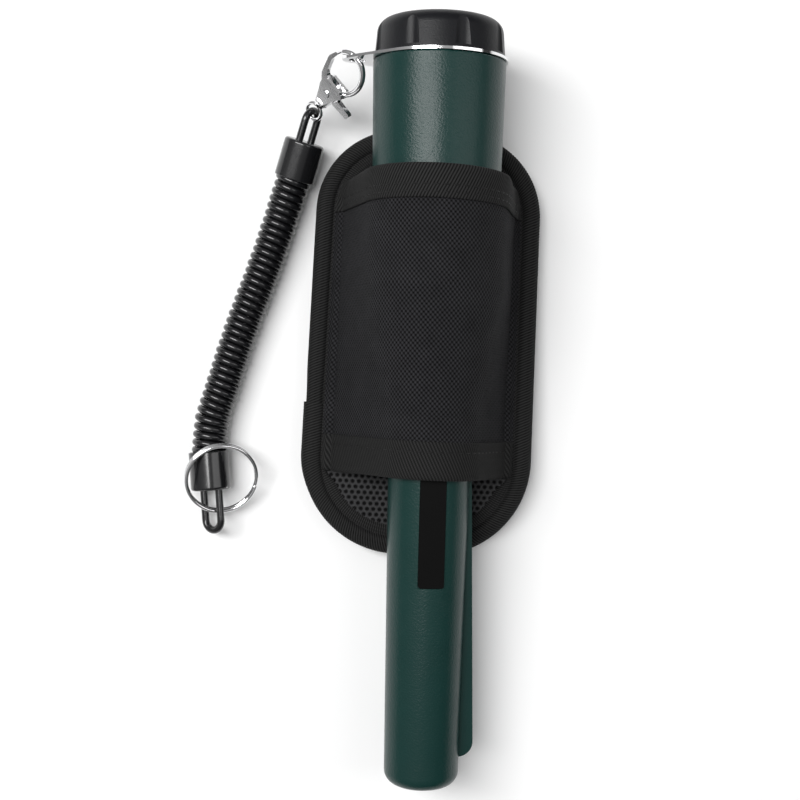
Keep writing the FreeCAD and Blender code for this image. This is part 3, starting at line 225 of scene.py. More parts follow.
slide_axis = np.array(joints["probe_slide"]["axis"])
mouth = np.array(joints["cap_turn"]["pos_m"]) / MM
pad_low, pad_high = box_mm("pad_lining")
cover_low = box_mm("back_cover")[0]
pocket_low, pocket_high = box_mm("pocket_panel")
loop_low, loop_high = box_mm("belt_loop")
PROFILE_RUN = (0.0, 66.0, 104.0, 215.6)
PROFILE_RADIUS = (19.6, 18.4, 12.4, 11.2)
PAD_TOP_HALF = 33.5
PAD_BOTTOM_HALF = 34.8
PAD_TOP_CORNER = 25.0
PAD_BOTTOM_CORNER = 29.0
PAD_FRONT = pad_high[2]
PAD_BACK = cover_low[2]
BINDING_REACH = 5.0


def probe_at(y):
    """The probe's middle and radius where its axis crosses this height of the holster."""
    run = (y - mouth[1]) / slide_axis[1]
    centre = mouth + slide_axis * run
    return centre, np.interp(-run, PROFILE_RUN, PROFILE_RADIUS)


def rounded_polygon(corners):
    """A dense closed line round a polygon whose corners are (x, y, radius)."""
    points = []
    for before, corner, after in zip(corners[-1:] + corners[:-1], corners, corners[1:] + corners[:1]):
        place = np.array(corner[:2])
        back = np.array(before[:2]) - place
        ahead = np.array(after[:2]) - place
        back /= np.linalg.norm(back)
        ahead /= np.linalg.norm(ahead)
        half = math.acos(np.dot(back, ahead)) / 2
        middle = back + ahead
        centre = place + middle / np.linalg.norm(middle) * corner[2] / math.sin(half)
        start = place + back * corner[2] / math.tan(half) - centre
        end = place + ahead * corner[2] / math.tan(half) - centre
        first = math.atan2(start[1], start[0])
        sweep = (math.atan2(end[1], end[0]) - first) % (2 * math.pi)
        for share in np.linspace(0, 1, 120):
            angle = first + sweep * share
            points.append(centre + corner[2] * np.array([math.cos(angle), math.sin(angle)]))
    return np.array(points)


def pad_edge(step):
    """Points round the pad's edge, counter-clockwise from the left side, and the directions outwards."""
    length = pad_high[1]
    line = rounded_polygon([
        (PAD_BOTTOM_HALF, -length, PAD_BOTTOM_CORNER), (PAD_TOP_HALF, length, PAD_TOP_CORNER),
        (-PAD_TOP_HALF, length, PAD_TOP_CORNER), (-PAD_BOTTOM_HALF, -length, PAD_BOTTOM_CORNER)])
    line = resample(np.concatenate([line, line[:1]]), 4000)
    left = np.where(line[:, 0] < 0, np.abs(line[:, 1] - JOIN_HEIGHT), 1e9)
    start = int(np.argmin(left))
    line = np.concatenate([line[start:-1], line[:start + 1]])
    total = np.linalg.norm(np.diff(line, axis=0), axis=1).sum()
    line = resample(line, int(total / step))
    along = np.gradient(line, axis=0)
    along[0] = along[-1] = (along[1] + along[-2]) / 2
    along /= np.linalg.norm(along, axis=1, keepdims=True)
    outwards = np.stack([along[:, 1], -along[:, 0]], -1)
    return line, outwards, total


def half_width(y, inset):
    """Half the pad's width at this height, drawn in all round by the inset."""
    length = pad_high[1]
    share = (y + length) / (2 * length)
    straight = PAD_BOTTOM_HALF + (PAD_TOP_HALF - PAD_BOTTOM_HALF) * share - inset
    corner = np.where(y > 0, PAD_TOP_CORNER, PAD_BOTTOM_CORNER)
    over = np.clip(np.abs(y) - (length - corner), 0, corner - inset - 1e-6)
    return straight - (corner - inset) + np.sqrt(np.maximum((corner - inset) ** 2 - over ** 2, 0))


# ---------------------------------------------------------------- cloth simulation

CLOTH_SCALE = 0.01
CLOTH_FRAMES = 20
CLOTH_QUALITY = 6
TENSION = 40
COMPRESSION = 25
BENDING = 1.5
CLOTH_SKIN = 0.002


def settle(points, faces, pinned, pressure, weight, collider=None):
    """Cloth dynamics on a mesh in millimetres: the points after CLOTH_FRAMES frames."""
    mesh = bpy.data.meshes.new("settling")
    mesh.from_pydata((points * CLOTH_SCALE).tolist(), [], faces)
    item = bpy.data.objects.new("settling", mesh)
    bpy.context.scene.collection.objects.link(item)
    group = item.vertex_groups.new(name="pinned")
    group.add([int(i) for i in np.nonzero(pinned)[0]], 1.0, "REPLACE")
    cloth = item.modifiers.new("Cloth", "CLOTH")
    cloth.settings.vertex_group_mass = "pinned"
    cloth.settings.use_pressure = pressure > 0
    cloth.settings.uniform_pressure_force = pressure
    cloth.settings.effector_weights.gravity = weight
    cloth.settings.quality = CLOTH_QUALITY
    cloth.settings.tension_stiffness = TENSION
    cloth.settings.compression_stiffness = COMPRESSION
    cloth.settings.bending_stiffness = BENDING
    helper = None
    if collider is not None:
        shell = bpy.data.meshes.new("collider")
        shell.from_pydata((collider[0] * CLOTH_SCALE).tolist(), [], collider[1])
        helper = bpy.data.objects.new("collider", shell)
        bpy.context.scene.collection.objects.link(helper)
        helper.modifiers.new("Collision", "COLLISION")
        helper.collision.thickness_outer = CLOTH_SKIN
        cloth.collision_settings.distance_min = CLOTH_SKIN
    scene = bpy.context.scene
    for step in range(1, CLOTH_FRAMES + 1):
        scene.frame_set(step)
    evaluated = item.evaluated_get(bpy.context.evaluated_depsgraph_get())
    settled = np.zeros(len(points) * 3, np.float32)
    evaluated.data.vertices.foreach_get("co", settled)
    scene.frame_set(1)
    for used in (item, helper):
        if used is not None:
            data = used.data
            bpy.data.objects.remove(used)
            bpy.data.meshes.remove(data)
    return settled.reshape(-1, 3) / CLOTH_SCALE


# ---------------------------------------------------------------- pad: lining in front, cover behind

JOIN_HEIGHT = -20.0
SEAM_INSIDE = 26.6
SHEET_ROWS = 42
SHEET_COLUMNS = 24
PUFF_FRONT = 1.2
PUFF_BACK = 0.8
PROBE_CLEARANCE = 0.3
PAD_INSET = 0.3
PAD_PRESSURE = 4.0
STRAP_SEAM_NEAR = 26.5
STRAP_SEAM_FAR = 36.0
SLIGHT_DIP = 0.2


def pad_sheet(rows, columns, height, inset):
    """A flat sheet over the pad's plan at one height."""
    y = np.linspace(pad_low[1] + inset, pad_high[1] - inset, rows)[:, None]
    x = np.linspace(-1, 1, columns)[None, :] * half_width(y, inset)
    return np.stack([x, np.broadcast_to(y, x.shape), np.full(x.shape, height)], -1)


def pad_swell():
    """How far the pad's filling pushes the front and the back sheet, on a coarse grid."""
    front = pad_sheet(SHEET_ROWS, SHEET_COLUMNS, PAD_FRONT, PAD_INSET)
    back = pad_sheet(SHEET_ROWS, SHEET_COLUMNS, PAD_BACK, PAD_INSET)
    around = np.concatenate([front, back[:, ::-1]], axis=1)
    x, y = around[..., 0], around[..., 1]
    edge_room = half_width(y, 0) - np.abs(x)
    end_room = pad_high[1] - np.abs(y)
    pinned = (edge_room < BINDING_REACH) | (end_room < BINDING_REACH)
    in_front = np.arange(2 * SHEET_COLUMNS)[None, :] < SHEET_COLUMNS
    sewn = (np.abs(x) > SEAM_INSIDE) & (y > pocket_low[1]) & (y < pocket_high[1])
    strap = (np.abs(x) < loop_high[0]) & (np.abs(y) > STRAP_SEAM_NEAR) & (np.abs(y) < STRAP_SEAM_FAR)
    pinned |= (sewn & in_front) | (strap & ~in_front)
    faces = grid_faces(SHEET_ROWS, 2 * SHEET_COLUMNS, True).tolist()
    faces.append(list(range(2 * SHEET_COLUMNS))[::-1])
    faces.append([(SHEET_ROWS - 1) * 2 * SHEET_COLUMNS + i for i in range(2 * SHEET_COLUMNS)])
    settled = settle(around.reshape(-1, 3), faces, pinned.ravel(), PAD_PRESSURE, 0.0)
    swell = settled.reshape(around.shape) - around
    ahead = swell[:, :SHEET_COLUMNS]
    behind = swell[:, SHEET_COLUMNS:][:, ::-1]
    return ahead, behind


def probe_underside(x, y):
    """The height of the probe's underside over the pad."""
    centre, radius = probe_at(y)
    return centre[2] - math.sqrt(max(radius ** 2 - (x - centre[0]) ** 2, 0))


MESH_PITCH = 1.95
MESH_DEPTH = 0.6


def spacer_holes(x, y):
    """The mesh lining's pattern: 0 on the net, 1 in the middle of each hole, in staggered rows."""
    row_height = MESH_PITCH * math.sqrt(3) / 2
    row = np.round(y / row_height)
    across = x / MESH_PITCH + 0.5 * (row % 2)
    dx = (across - np.round(across)) * MESH_PITCH
    dy = y - row * row_height
    return 1 - smooth_step(np.hypot(dx, dy), 0.2 * MESH_PITCH, 0.42 * MESH_PITCH)


ahead, behind = pad_swell()
rows, columns = ((500, 290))
lining = pad_sheet(rows, columns, PAD_FRONT, PAD_INSET)
lift = enlarge(ahead, rows, columns)[..., 2]
room = np.array([[probe_underside(x, y) for x in lining[0, ::10, 0]] for y in lining[::10, 0, 1]])
room = enlarge(room[..., None], rows, columns)[..., 0] - PAD_FRONT - PROBE_CLEARANCE
lift = np.minimum(np.clip(lift, -SLIGHT_DIP, PUFF_FRONT), np.maximum(room, 0))
holes = spacer_holes(lining[..., 0], lining[..., 1])
# the third value, 1 on the net and 0 in the holes, sets the lining's painted shade in the holes
cloth_place = np.stack([lining[..., 0], lining[..., 1], 1 - holes], -1)
lining[..., 2] += lift - MESH_DEPTH * holes
pad_lining = grid_object("lining_cloth", lining, cloth_place)
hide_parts("pad_lining", "foam_core")

rows, columns = 220, 130
cover = pad_sheet(rows, columns, PAD_BACK, PAD_INSET)
drop = enlarge(behind, rows, columns)[..., 2]
cover[..., 2] += np.clip(drop, -PUFF_BACK, SLIGHT_DIP)
cover_place = np.stack([cover[..., 0], cover[..., 1], np.ones(cover.shape[:2])], -1)
back_cover = grid_object("cover_cloth", cover, cover_place, flip=True)
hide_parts("back_cover")


# ---------------------------------------------------------------- edge binding

RIB_PITCH = 0.87
RIB_HEIGHT = 0.26
RIB_SLANT = 0.45
FLAP_REACH = 2.4
BINDING_STEP = 0.145
OVERLAP_RAISE = 0.45
OVERLAP_LEVEL = 17.0
OVERLAP_END = 30.0
TUCK_DEPTH = 0.25
TUCK_LENGTH = 12.0
TUCK_LEVEL = 2.0
STITCH_RADIUS = 0.2
STITCH_SPACING = 2.9


def rib(run):
    """The tape's ribs along its length: rounded tops with sharp valleys."""
    return np.abs(np.sin(math.pi * run / RIB_PITCH)) ** 0.6


edge, outwards, edge_length = pad_edge(BINDING_STEP)
face = PAD_FRONT
behind_pad = PAD_BACK
outside = curve_through([
    (-4.9, behind_pad - 0.55), (-3.0, behind_pad - 0.85), (-0.9, behind_pad - 0.95), (0.55, behind_pad - 0.3),
    (1.0, behind_pad + 1.6), (0.75, face - 0.3), (-0.3, face + 1.2), (-1.8, face + 1.75), (-3.4, face + 1.45),
    (-4.4, face + 0.45), (-4.9, face + 0.75), (-5.4, face + 0.8), (-5.8, face + 0.25)], 50)
inside = curve_through([
    (-5.3, face + 0.08), (-3.9, face + 0.05), (-1.5, face + 0.3), (-0.2, face - 0.4), (0.2, behind_pad + 1.6),
    (-0.4, behind_pad + 0.2), (-2.8, behind_pad - 0.15), (-4.8, behind_pad - 0.1)], 14)
section = np.concatenate([outside, inside])
section_heading = np.gradient(np.concatenate([section[-1:], section, section[:1]]), axis=0)[1:-1]
section_heading /= np.linalg.norm(section_heading, axis=1, keepdims=True)
section_out = np.stack([section_heading[:, 1], -section_heading[:, 0]], -1)
run = np.linspace(0, edge_length, len(edge))
raised = OVERLAP_RAISE * (1 - smooth_step(run, OVERLAP_LEVEL, OVERLAP_END))
tucked = TUCK_DEPTH * smooth_step(run, edge_length - TUCK_LENGTH, edge_length - TUCK_LEVEL)
shown = np.zeros(len(section))
shown[:len(outside)] = 1
shown[:2] = 0.3
section_run = np.concatenate([[0], np.cumsum(np.linalg.norm(np.diff(section, axis=0), axis=1))])
ribs = rib(run[:, None] + RIB_SLANT * section_run[None, :])
push = (ribs * RIB_HEIGHT + (raised - tucked)[:, None]) * shown[None, :]
beside_pocket = (smooth_step(edge[:, 1], pocket_low[1] - 9.0, pocket_low[1] - 2.0)
                 * (1 - smooth_step(edge[:, 1], pocket_high[1] - 3.0, pocket_high[1] + 3.0)))
flap = np.clip((-4.7 - section[:, 0]) / 1.1, 0, 1) * (section[:, 1] > face)
reach = -FLAP_REACH * (1 - beside_pocket[:, None]) * flap[None, :]
across = section[None, :, 0] + push * section_out[None, :, 0] + reach
height = section[None, :, 1] + push * section_out[None, :, 1] * (1 - 0.5 * (raised > 0.01))[:, None]
binding_points = np.stack([
    edge[:, None, 0] + outwards[:, None, 0] * across,
    edge[:, None, 1] + outwards[:, None, 1] * across,
    height], -1)
# the third value, the rib height, sets the tape's painted highlight on the rib tops and painted shade in the
# valleys
binding_cloth = np.stack(np.broadcast_arrays(run[:, None], section_run[None, :], ribs), -1)
binding = grid_object("binding_tape", binding_points, binding_cloth, wrap_columns=True, capped=True)
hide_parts("edge_binding")

SEAM_FROM_EDGE = -4.4
seam = np.stack([edge[:, 0] + outwards[:, 0] * SEAM_FROM_EDGE, edge[:, 1] + outwards[:, 1] * SEAM_FROM_EDGE,
                 np.full(len(edge), face + 0.55)], -1)
seam_up = np.broadcast_to(np.array([0.0, 0.0, 1.0]), seam.shape)
binding_seam = stitches("binding_stitches", seam[::4], seam_up[::4], 2.1, STITCH_SPACING, 0.22)


# ---------------------------------------------------------------- pocket

POCKET_FOOT = 1.6
POCKET_GAP_TOP = 1.2
POCKET_GAP_BOTTOM = 2.2
POCKET_THICKNESS = 1.1
POCKET_SEAM_HALF = 27.8
FLOAT_SPACING = 1.25
ROW_SPACING = 0.74
FLOAT_HALF_WIDTH = 0.5
FLOAT_HALF_LENGTH = 0.66
WEAVE_HEIGHT = 0.26
HARD_FOLD = 0.9
SECTION_SAMPLES = 420
SLACK_LIMIT = 1.3
SAG_LIMIT = 0.15


def pocket_seam_half(y):
    """The pocket's seam from the middle, drawn in by the pad's round upper corners."""
    inner = half_width(np.array(y), BINDING_REACH)
    return min(POCKET_SEAM_HALF, float(inner) - POCKET_FOOT)


def pocket_section(y, samples):
    """The pocket's inner face across at this height: foot, slope, arch round the probe, slope, foot."""
    centre, radius = probe_at(y)
    share = (y - pocket_low[1]) / (pocket_high[1] - pocket_low[1])
    radius = radius + POCKET_GAP_BOTTOM + share * (POCKET_GAP_TOP - POCKET_GAP_BOTTOM)
    half = pocket_seam_half(y)
    floor = PAD_FRONT + 0.05
    turns = []
    for side in (-1, 1):
        dx = side * half - centre[0]
        dz = floor - centre[2]
        away = math.acos(radius / math.hypot(dx, dz))
        turns.append(math.atan2(dz, dx) % (2 * math.pi) + side * away)
    angles = np.linspace(turns[0], turns[1] - 2 * math.pi, 90)
    arch = np.stack([centre[0] + radius * np.cos(angles), centre[2] + radius * np.sin(angles)], -1)
    ends = np.array([[-half - POCKET_FOOT, floor], [-half, floor]])
    line = np.concatenate([ends, arch, ends[::-1] * np.array([-1, 1])])
    line = resample(line, SECTION_SAMPLES)
    spacing = np.linalg.norm(line[1] - line[0])
    reach = int(3 * HARD_FOLD / spacing)
    kernel = np.exp(-0.5 * (np.arange(-reach, reach + 1) * spacing / HARD_FOLD) ** 2)
    kernel /= kernel.sum()
    padded = np.pad(line, ((reach, reach), (0, 0)), mode="reflect", reflect_type="odd")
    softened = np.stack([np.convolve(padded[:, i], kernel, "valid") for i in (0, 1)], -1)
    softened = resample(softened, samples)
    return np.stack([softened[:, 0], np.full(samples, y), softened[:, 1]], -1)


def probe_shell(extra):
    """The probe as a plain tube, for the pocket to rest on."""
    heights = np.linspace(pocket_low[1] - 12, pocket_high[1] + 12, 40)
    rings = []
    for y in heights:
        centre, radius = probe_at(y)
        angles = np.linspace(0, 2 * math.pi, 64, endpoint=False)
        rings.append(np.stack([centre[0] + (radius + extra) * np.cos(angles), np.full(64, y),
                               centre[2] + (radius + extra) * np.sin(angles)], -1))
    rings = np.array(rings)
    return rings.reshape(-1, 3), grid_faces(len(heights), 64, True, True).tolist()


def pocket_slack():
    """How far simulated cloth sags or lifts from its cut shape, on a coarse grid.

    pocket_surface keeps very little of the sag, so the pocket's shape is mostly its cut section.
    """
    rows, columns = 38, 44
    heights = np.linspace(pocket_low[1], pocket_high[1], rows)
    cut = np.array([pocket_section(y, columns) for y in heights])
    pinned = np.zeros((rows, columns), bool)
    pinned[:, :2] = True
    pinned[:, -2:] = True
    faces = grid_faces(rows, columns, flip=True).tolist()
    settled = settle(cut.reshape(-1, 3), faces, pinned.ravel(), 0.0, 1.0, probe_shell(0.3))
    slack = settled.reshape(cut.shape) - cut
    length = np.linalg.norm(slack, axis=-1, keepdims=True)
    return slack * np.minimum(1, SLACK_LIMIT / np.maximum(length, 1e-9))


slack = pocket_slack()


def pocket_surface(heights, columns):
    """The pocket's inner face at these heights, its outward normals and the cloth's run from its middle."""
    cut = np.array([pocket_section(y, columns) for y in heights])
    lean = enlarge(slack, 160, columns)
    place = np.clip((heights - pocket_low[1]) / (pocket_high[1] - pocket_low[1]), 0, 1) * 159
    below = np.clip(place.astype(int), 0, 158)
    share = (place - below)[:, None, None]
    lean = lean[below] * (1 - share) + lean[below + 1] * share
    points = cut + lean * np.array([1, 0, 1])
    for row, cut_row, y in zip(points, cut, heights):
        centre, _ = probe_at(y)
        cut_away = np.hypot(cut_row[:, 0] - centre[0], cut_row[:, 2] - centre[2])
        dx = row[:, 0] - centre[0]
        dz = row[:, 2] - centre[2]
        away = np.hypot(dx, dz)
        short = np.maximum(cut_away - SAG_LIMIT - away, 0)
        row[:, 0] += dx / away * short
        row[:, 2] += dz / away * short
    normals = grid_normals(points)
    steps = np.linalg.norm(np.diff(points, axis=1), axis=-1)
    run = np.concatenate([np.zeros((len(points), 1)), np.cumsum(steps, axis=1)], axis=1)
    run -= run[:, -1:] / 2
    return points, normals, run


def weave(across, along):
    """Long oval floats in staggered rows: 0 in the gaps and 1 on each float's crown."""
    height = np.zeros_like(across)
    nearest = np.round(along / ROW_SPACING)
    for row in (nearest - 1, nearest, nearest + 1):
        place = across / FLOAT_SPACING + 0.5 * (row % 2)
        dx = (place - np.round(place)) * FLOAT_SPACING / FLOAT_HALF_WIDTH
        dy = (along - row * ROW_SPACING) / FLOAT_HALF_LENGTH
        height = np.maximum(height, np.sqrt(np.maximum(1 - dx * dx - dy * dy, 0)))
    return height


rows, columns = ((520, 520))
heights = np.linspace(pocket_low[1], pocket_high[1], rows)
inner, normals, run = pocket_surface(heights, columns)
along = np.broadcast_to(heights[:, None], run.shape)
floats = weave(run, along)
outer = inner + normals * (POCKET_THICKNESS + WEAVE_HEIGHT * (floats - 0.7))[..., None]
lower = inner[:, ::3]
pocket_points = np.concatenate([outer, lower[:, ::-1]], axis=1)
# the third value, each float's height, sets the painted highlight on the crowns and the painted shade in the gaps
cloth_place = np.stack([np.concatenate([run, run[:, ::3][:, ::-1]], axis=1),
                        np.broadcast_to(heights[:, None], pocket_points.shape[:2]),
                        np.concatenate([floats, floats[:, ::3][:, ::-1]], axis=1)], -1)
pocket = grid_object("pocket_cloth", pocket_points, cloth_place, wrap_columns=True, flip=True, capped=True)
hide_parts("pocket_panel")


def hem(name, edge, inwards, width):
    """Ribbed tape folded over one edge of the pocket; inwards is the way from the edge into the pocket."""
    top = POCKET_THICKNESS
    profile = curve_through([
        (width, top + 0.15), (width + 0.05, top + 0.55), (width - 0.5, top + 0.72),
        (width * 0.6, top + 0.7),
        (width * 0.25, top + 0.8), (0.3, top + 0.75), (-0.55, top + 0.25), (-0.7, top * 0.5), (-0.5, -0.1),
        (0.4, -0.45), (3.0, -0.42), (3.6, -0.2), (2.4, -0.05), (0.3, 0.0), (-0.1, top * 0.5),
        (0.3, top + 0.1),
        (width * 0.5, top + 0.12)], 56)
    base_columns = 640
    sampled = np.sort(edge + inwards * np.linspace(-1.2, width + 0.6, 15))
    points, normals, run = pocket_surface(sampled, base_columns)
    place = (edge + inwards * profile[:, 0] - sampled[0]) / (sampled[1] - sampled[0])
    below = np.clip(place.astype(int), 0, len(sampled) - 2)
    share = (place - below)[:, None, None]
    base = points[below] * (1 - share) + points[below + 1] * share
    up = normals[below] * (1 - share) + normals[below + 1] * share
    taped = run[below] * (1 - share[..., 0]) + run[below + 1] * share[..., 0]
    on_top = smooth_step(profile[:, 1], top, top + 0.5)[:, None]
    ribs = rib(taped + RIB_SLANT * profile[:, :1])
    lift = profile[:, 1][:, None] + RIB_HEIGHT * 0.8 * (ribs - 0.5) * on_top
    made = base + up * lift[..., None]
    made = np.swapaxes(made, 0, 1)
    # the third value, the rib height, sets the tape's painted highlight on the rib tops and painted shade in the
    # valleys
    tape_place = np.stack(np.broadcast_arrays(taped.T, profile[:, 0][None, :], ribs.T), -1)
    return grid_object(name, made, tape_place, wrap_columns=True, flip=inwards > 0, capped=True)


def hem_row(name, edge, inwards, distance):
    """A row of stitches through a hem, this far from the pocket's edge."""
    y = edge + inwards * distance
    points, normals, _ = pocket_surface(np.array([y - 0.3, y, y + 0.3]), 260)
    line = points[1] + normals[1] * (POCKET_THICKNESS + 0.74)
    return stitches(name, line[12:-12], normals[1][12:-12], 2.3, STITCH_SPACING, STITCH_RADIUS)


TOP_HEM = 9.0
BOTTOM_HEM = 10.6
top_hem = hem("top_hem_tape", pocket_high[1], -1, TOP_HEM)
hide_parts("pocket_top_binding")
bottom_hem = hem("bottom_hem_tape", pocket_low[1], 1, BOTTOM_HEM)
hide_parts("pocket_bottom_binding")
hem_rows = [hem_row("top_hem_stitches", pocket_high[1], -1, TOP_HEM - 1.6),
            hem_row("top_hem_second_stitches", pocket_high[1], -1, TOP_HEM - 3.7),
            hem_row("bottom_hem_stitches", pocket_low[1], 1, BOTTOM_HEM - 3.0)]


# ---------------------------------------------------------------- belt loop

STRAP_PITCH = 1.3
STRAP_RELIEF = 0.1
STRAP_HALF = loop_high[0]
STRAP_END = loop_high[1]
STRAP_THICK = loop_high[2] - loop_low[2]


def strap_layer(line, cloth_from):
    """One run of webbing: a closed section across, along a line of (y, z)."""
    line = curve_through(line, int(np.linalg.norm(np.diff(np.array(line), axis=0), axis=1).sum() / 0.32))
    along = np.gradient(line, axis=0)
    along /= np.linalg.norm(along, axis=1, keepdims=True)
    over = np.stack([-along[:, 1], along[:, 0]], -1)
    half = STRAP_THICK / 2 - 0.06
    across = np.linspace(-STRAP_HALF, STRAP_HALF, 96)
    thin = np.sqrt(np.clip(1 - (np.abs(across) / STRAP_HALF) ** 14, 0.02, 1))
    run = cloth_from + np.concatenate([[0], np.cumsum(np.linalg.norm(np.diff(line, axis=0), axis=1))])
    pattern = np.abs(np.sin(math.pi * (run[:, None] / STRAP_PITCH + 0.5 * np.abs(across[None, :]) % 2)))
    relief = STRAP_RELIEF * (pattern ** 0.5 - 0.7)
    faces_of_strap = []
    for side in (1, -1):
        lift = side * (half * thin[None, :] + relief)
        points = np.stack([np.broadcast_to(across, lift.shape), line[:, None, 0] + over[:, None, 0] * lift,
                           line[:, None, 1] + over[:, None, 1] * lift], -1)
        faces_of_strap.append(points if side > 0 else points[:, ::-1])
    points = np.concatenate(faces_of_strap, axis=1)
    # the third value, the threads' height, partly sets the webbing's painted highlight on the threads' tops
    place = np.stack(np.broadcast_arrays(np.concatenate([across, across[::-1]])[None, :], run[:, None],
                                         np.concatenate([pattern, pattern[:, ::-1]], axis=1)), -1)
    return points, place


low_z = STRAP_THICK / 2 + 0.12
high_z = PAD_BACK - STRAP_THICK / 2 - 0.05
fold = (high_z - low_z) / 2
strap_line = [(26.9, high_z)]
for end in (1, -1):
    bend = [(end * (STRAP_END - fold - STRAP_THICK / 2) + end * fold * math.sin(angle),
             (high_z + low_z) / 2 + fold * math.cos(angle)) for angle in np.linspace(0, math.pi, 7)]
    strap_line += bend if end > 0 else bend[::-1]
strap_line.append((-26.9, high_z))
strap_points, strap_place = strap_layer(strap_line, 0.0)
strap = grid_object("webbing_strap", strap_points, strap_place, wrap_columns=True, capped=True)
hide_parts("belt_loop", "belt_loop_upper_end", "belt_loop_lower_end")
strap_parts = [strap]
for end, name in ((1, "webbing_upper_fold"), (-1, "webbing_lower_fold")):
    middle_z = (low_z + high_z) / 2
    fold_line = [(y * end, middle_z) for y in (26.7, 29.5, 32.2)]
    points, place = strap_layer(fold_line, 7.0)
    points = points * np.array([0.985, 1, 1])
    strap_parts.append(grid_object(name, points, place, wrap_columns=True, flip=end < 0, capped=True))

strap_rows = []
for end, name in ((1, "upper"), (-1, "lower")):
    near, far = end * 27.9, end * 33.6
    wide = STRAP_HALF - 2.2
    corners = [(-wide, near), (wide, near), (wide, far), (-wide, far), (-wide, near), (wide, far)]
    cross = [(wide, near), (-wide, far)]
    for number, path in enumerate((corners, cross)):
        line = np.array([(x, y, loop_low[2] + 0.12) for x, y in path])
        down = np.broadcast_to(np.array([0.0, 0.0, -1.0]), line.shape)
        strap_rows.append(stitches(f"strap_{name}_stitches_{number}", line, down, 1.9, 2.4, STITCH_RADIUS))
for piece in (pad_lining, back_cover, binding, binding_seam, pocket, top_hem, bottom_hem,
              *hem_rows, *strap_parts, *strap_rows):
    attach(piece, "holster")


# ---------------------------------------------------------------- coiled cord

COIL_RADIUS = 4.35
COIL_WIRE = 1.15
COIL_PITCH = 2.42
TURN_STEPS = 30
WIRE_STEPS = 14
SOCKET = 7.0


def coil_centre_line():
    """The coil's middle, from slices of the CAD coil three turns high, run straight on into both sleeves."""
    points = node_points("coil_cord")
    top = points[:, 1].max() - SOCKET
    bottom = points[:, 1].min() + SOCKET
    middles = []
    for y in np.linspace(top, bottom, 9):
        near = points[np.abs(points[:, 1] - y) < COIL_PITCH * 1.5]
        middles.append((near.min(axis=0) + near.max(axis=0)) / 2)
    middles = np.array(middles)
    top_way = middles[0] - middles[1]
    bottom_way = middles[-1] - middles[-2]
    top_way /= np.linalg.norm(top_way)
    bottom_way /= np.linalg.norm(bottom_way)
    reach = SOCKET - COIL_RADIUS
    ends = (middles[0] + top_way * reach, middles[-1] + bottom_way * reach)
    return curve_through(np.concatenate([ends[:1], middles, ends[1:]]), 400)


centre_line = coil_centre_line()
coil_length = np.linalg.norm(np.diff(centre_line, axis=0), axis=1).sum()
turns = round(coil_length / COIL_PITCH)
middle = resample(centre_line, turns * TURN_STEPS + 1)
heading = np.gradient(middle, axis=0)
heading /= np.linalg.norm(heading, axis=1, keepdims=True)
sideways = np.cross(heading, np.array([0.0, 0.0, 1.0]))
sideways /= np.linalg.norm(sideways, axis=1, keepdims=True)
upwards = np.cross(sideways, heading)
angle = 2 * math.pi * np.arange(len(middle))[:, None] / TURN_STEPS
share = np.linspace(0, 1, len(middle))
uneven = 1 + 0.012 * np.sin(share[:, None] * 61.0) + 0.008 * np.sin(share[:, None] * 149.0)
wire = middle + (sideways * np.cos(angle) + upwards * np.sin(angle)) * COIL_RADIUS * uneven
wire_heading = np.gradient(wire, axis=0)
wire_heading /= np.linalg.norm(wire_heading, axis=1, keepdims=True)
wire_out = wire - middle
wire_out -= wire_heading * (wire_out * wire_heading).sum(axis=1, keepdims=True)
wire_out /= np.linalg.norm(wire_out, axis=1, keepdims=True)
wire_side = np.cross(wire_heading, wire_out)
ring = np.linspace(0, 2 * math.pi, WIRE_STEPS, endpoint=False)
coil_points = (wire[:, None] + COIL_WIRE * (wire_out[:, None] * np.cos(ring)[None, :, None]
                                            + wire_side[:, None] * np.sin(ring)[None, :, None]))
coil = grid_object("coil_cord_wire", coil_points, wrap_columns=True, flip=True, capped=True)
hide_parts("coil_cord")
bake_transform(coil)


# ---------------------------------------------------------------- materials

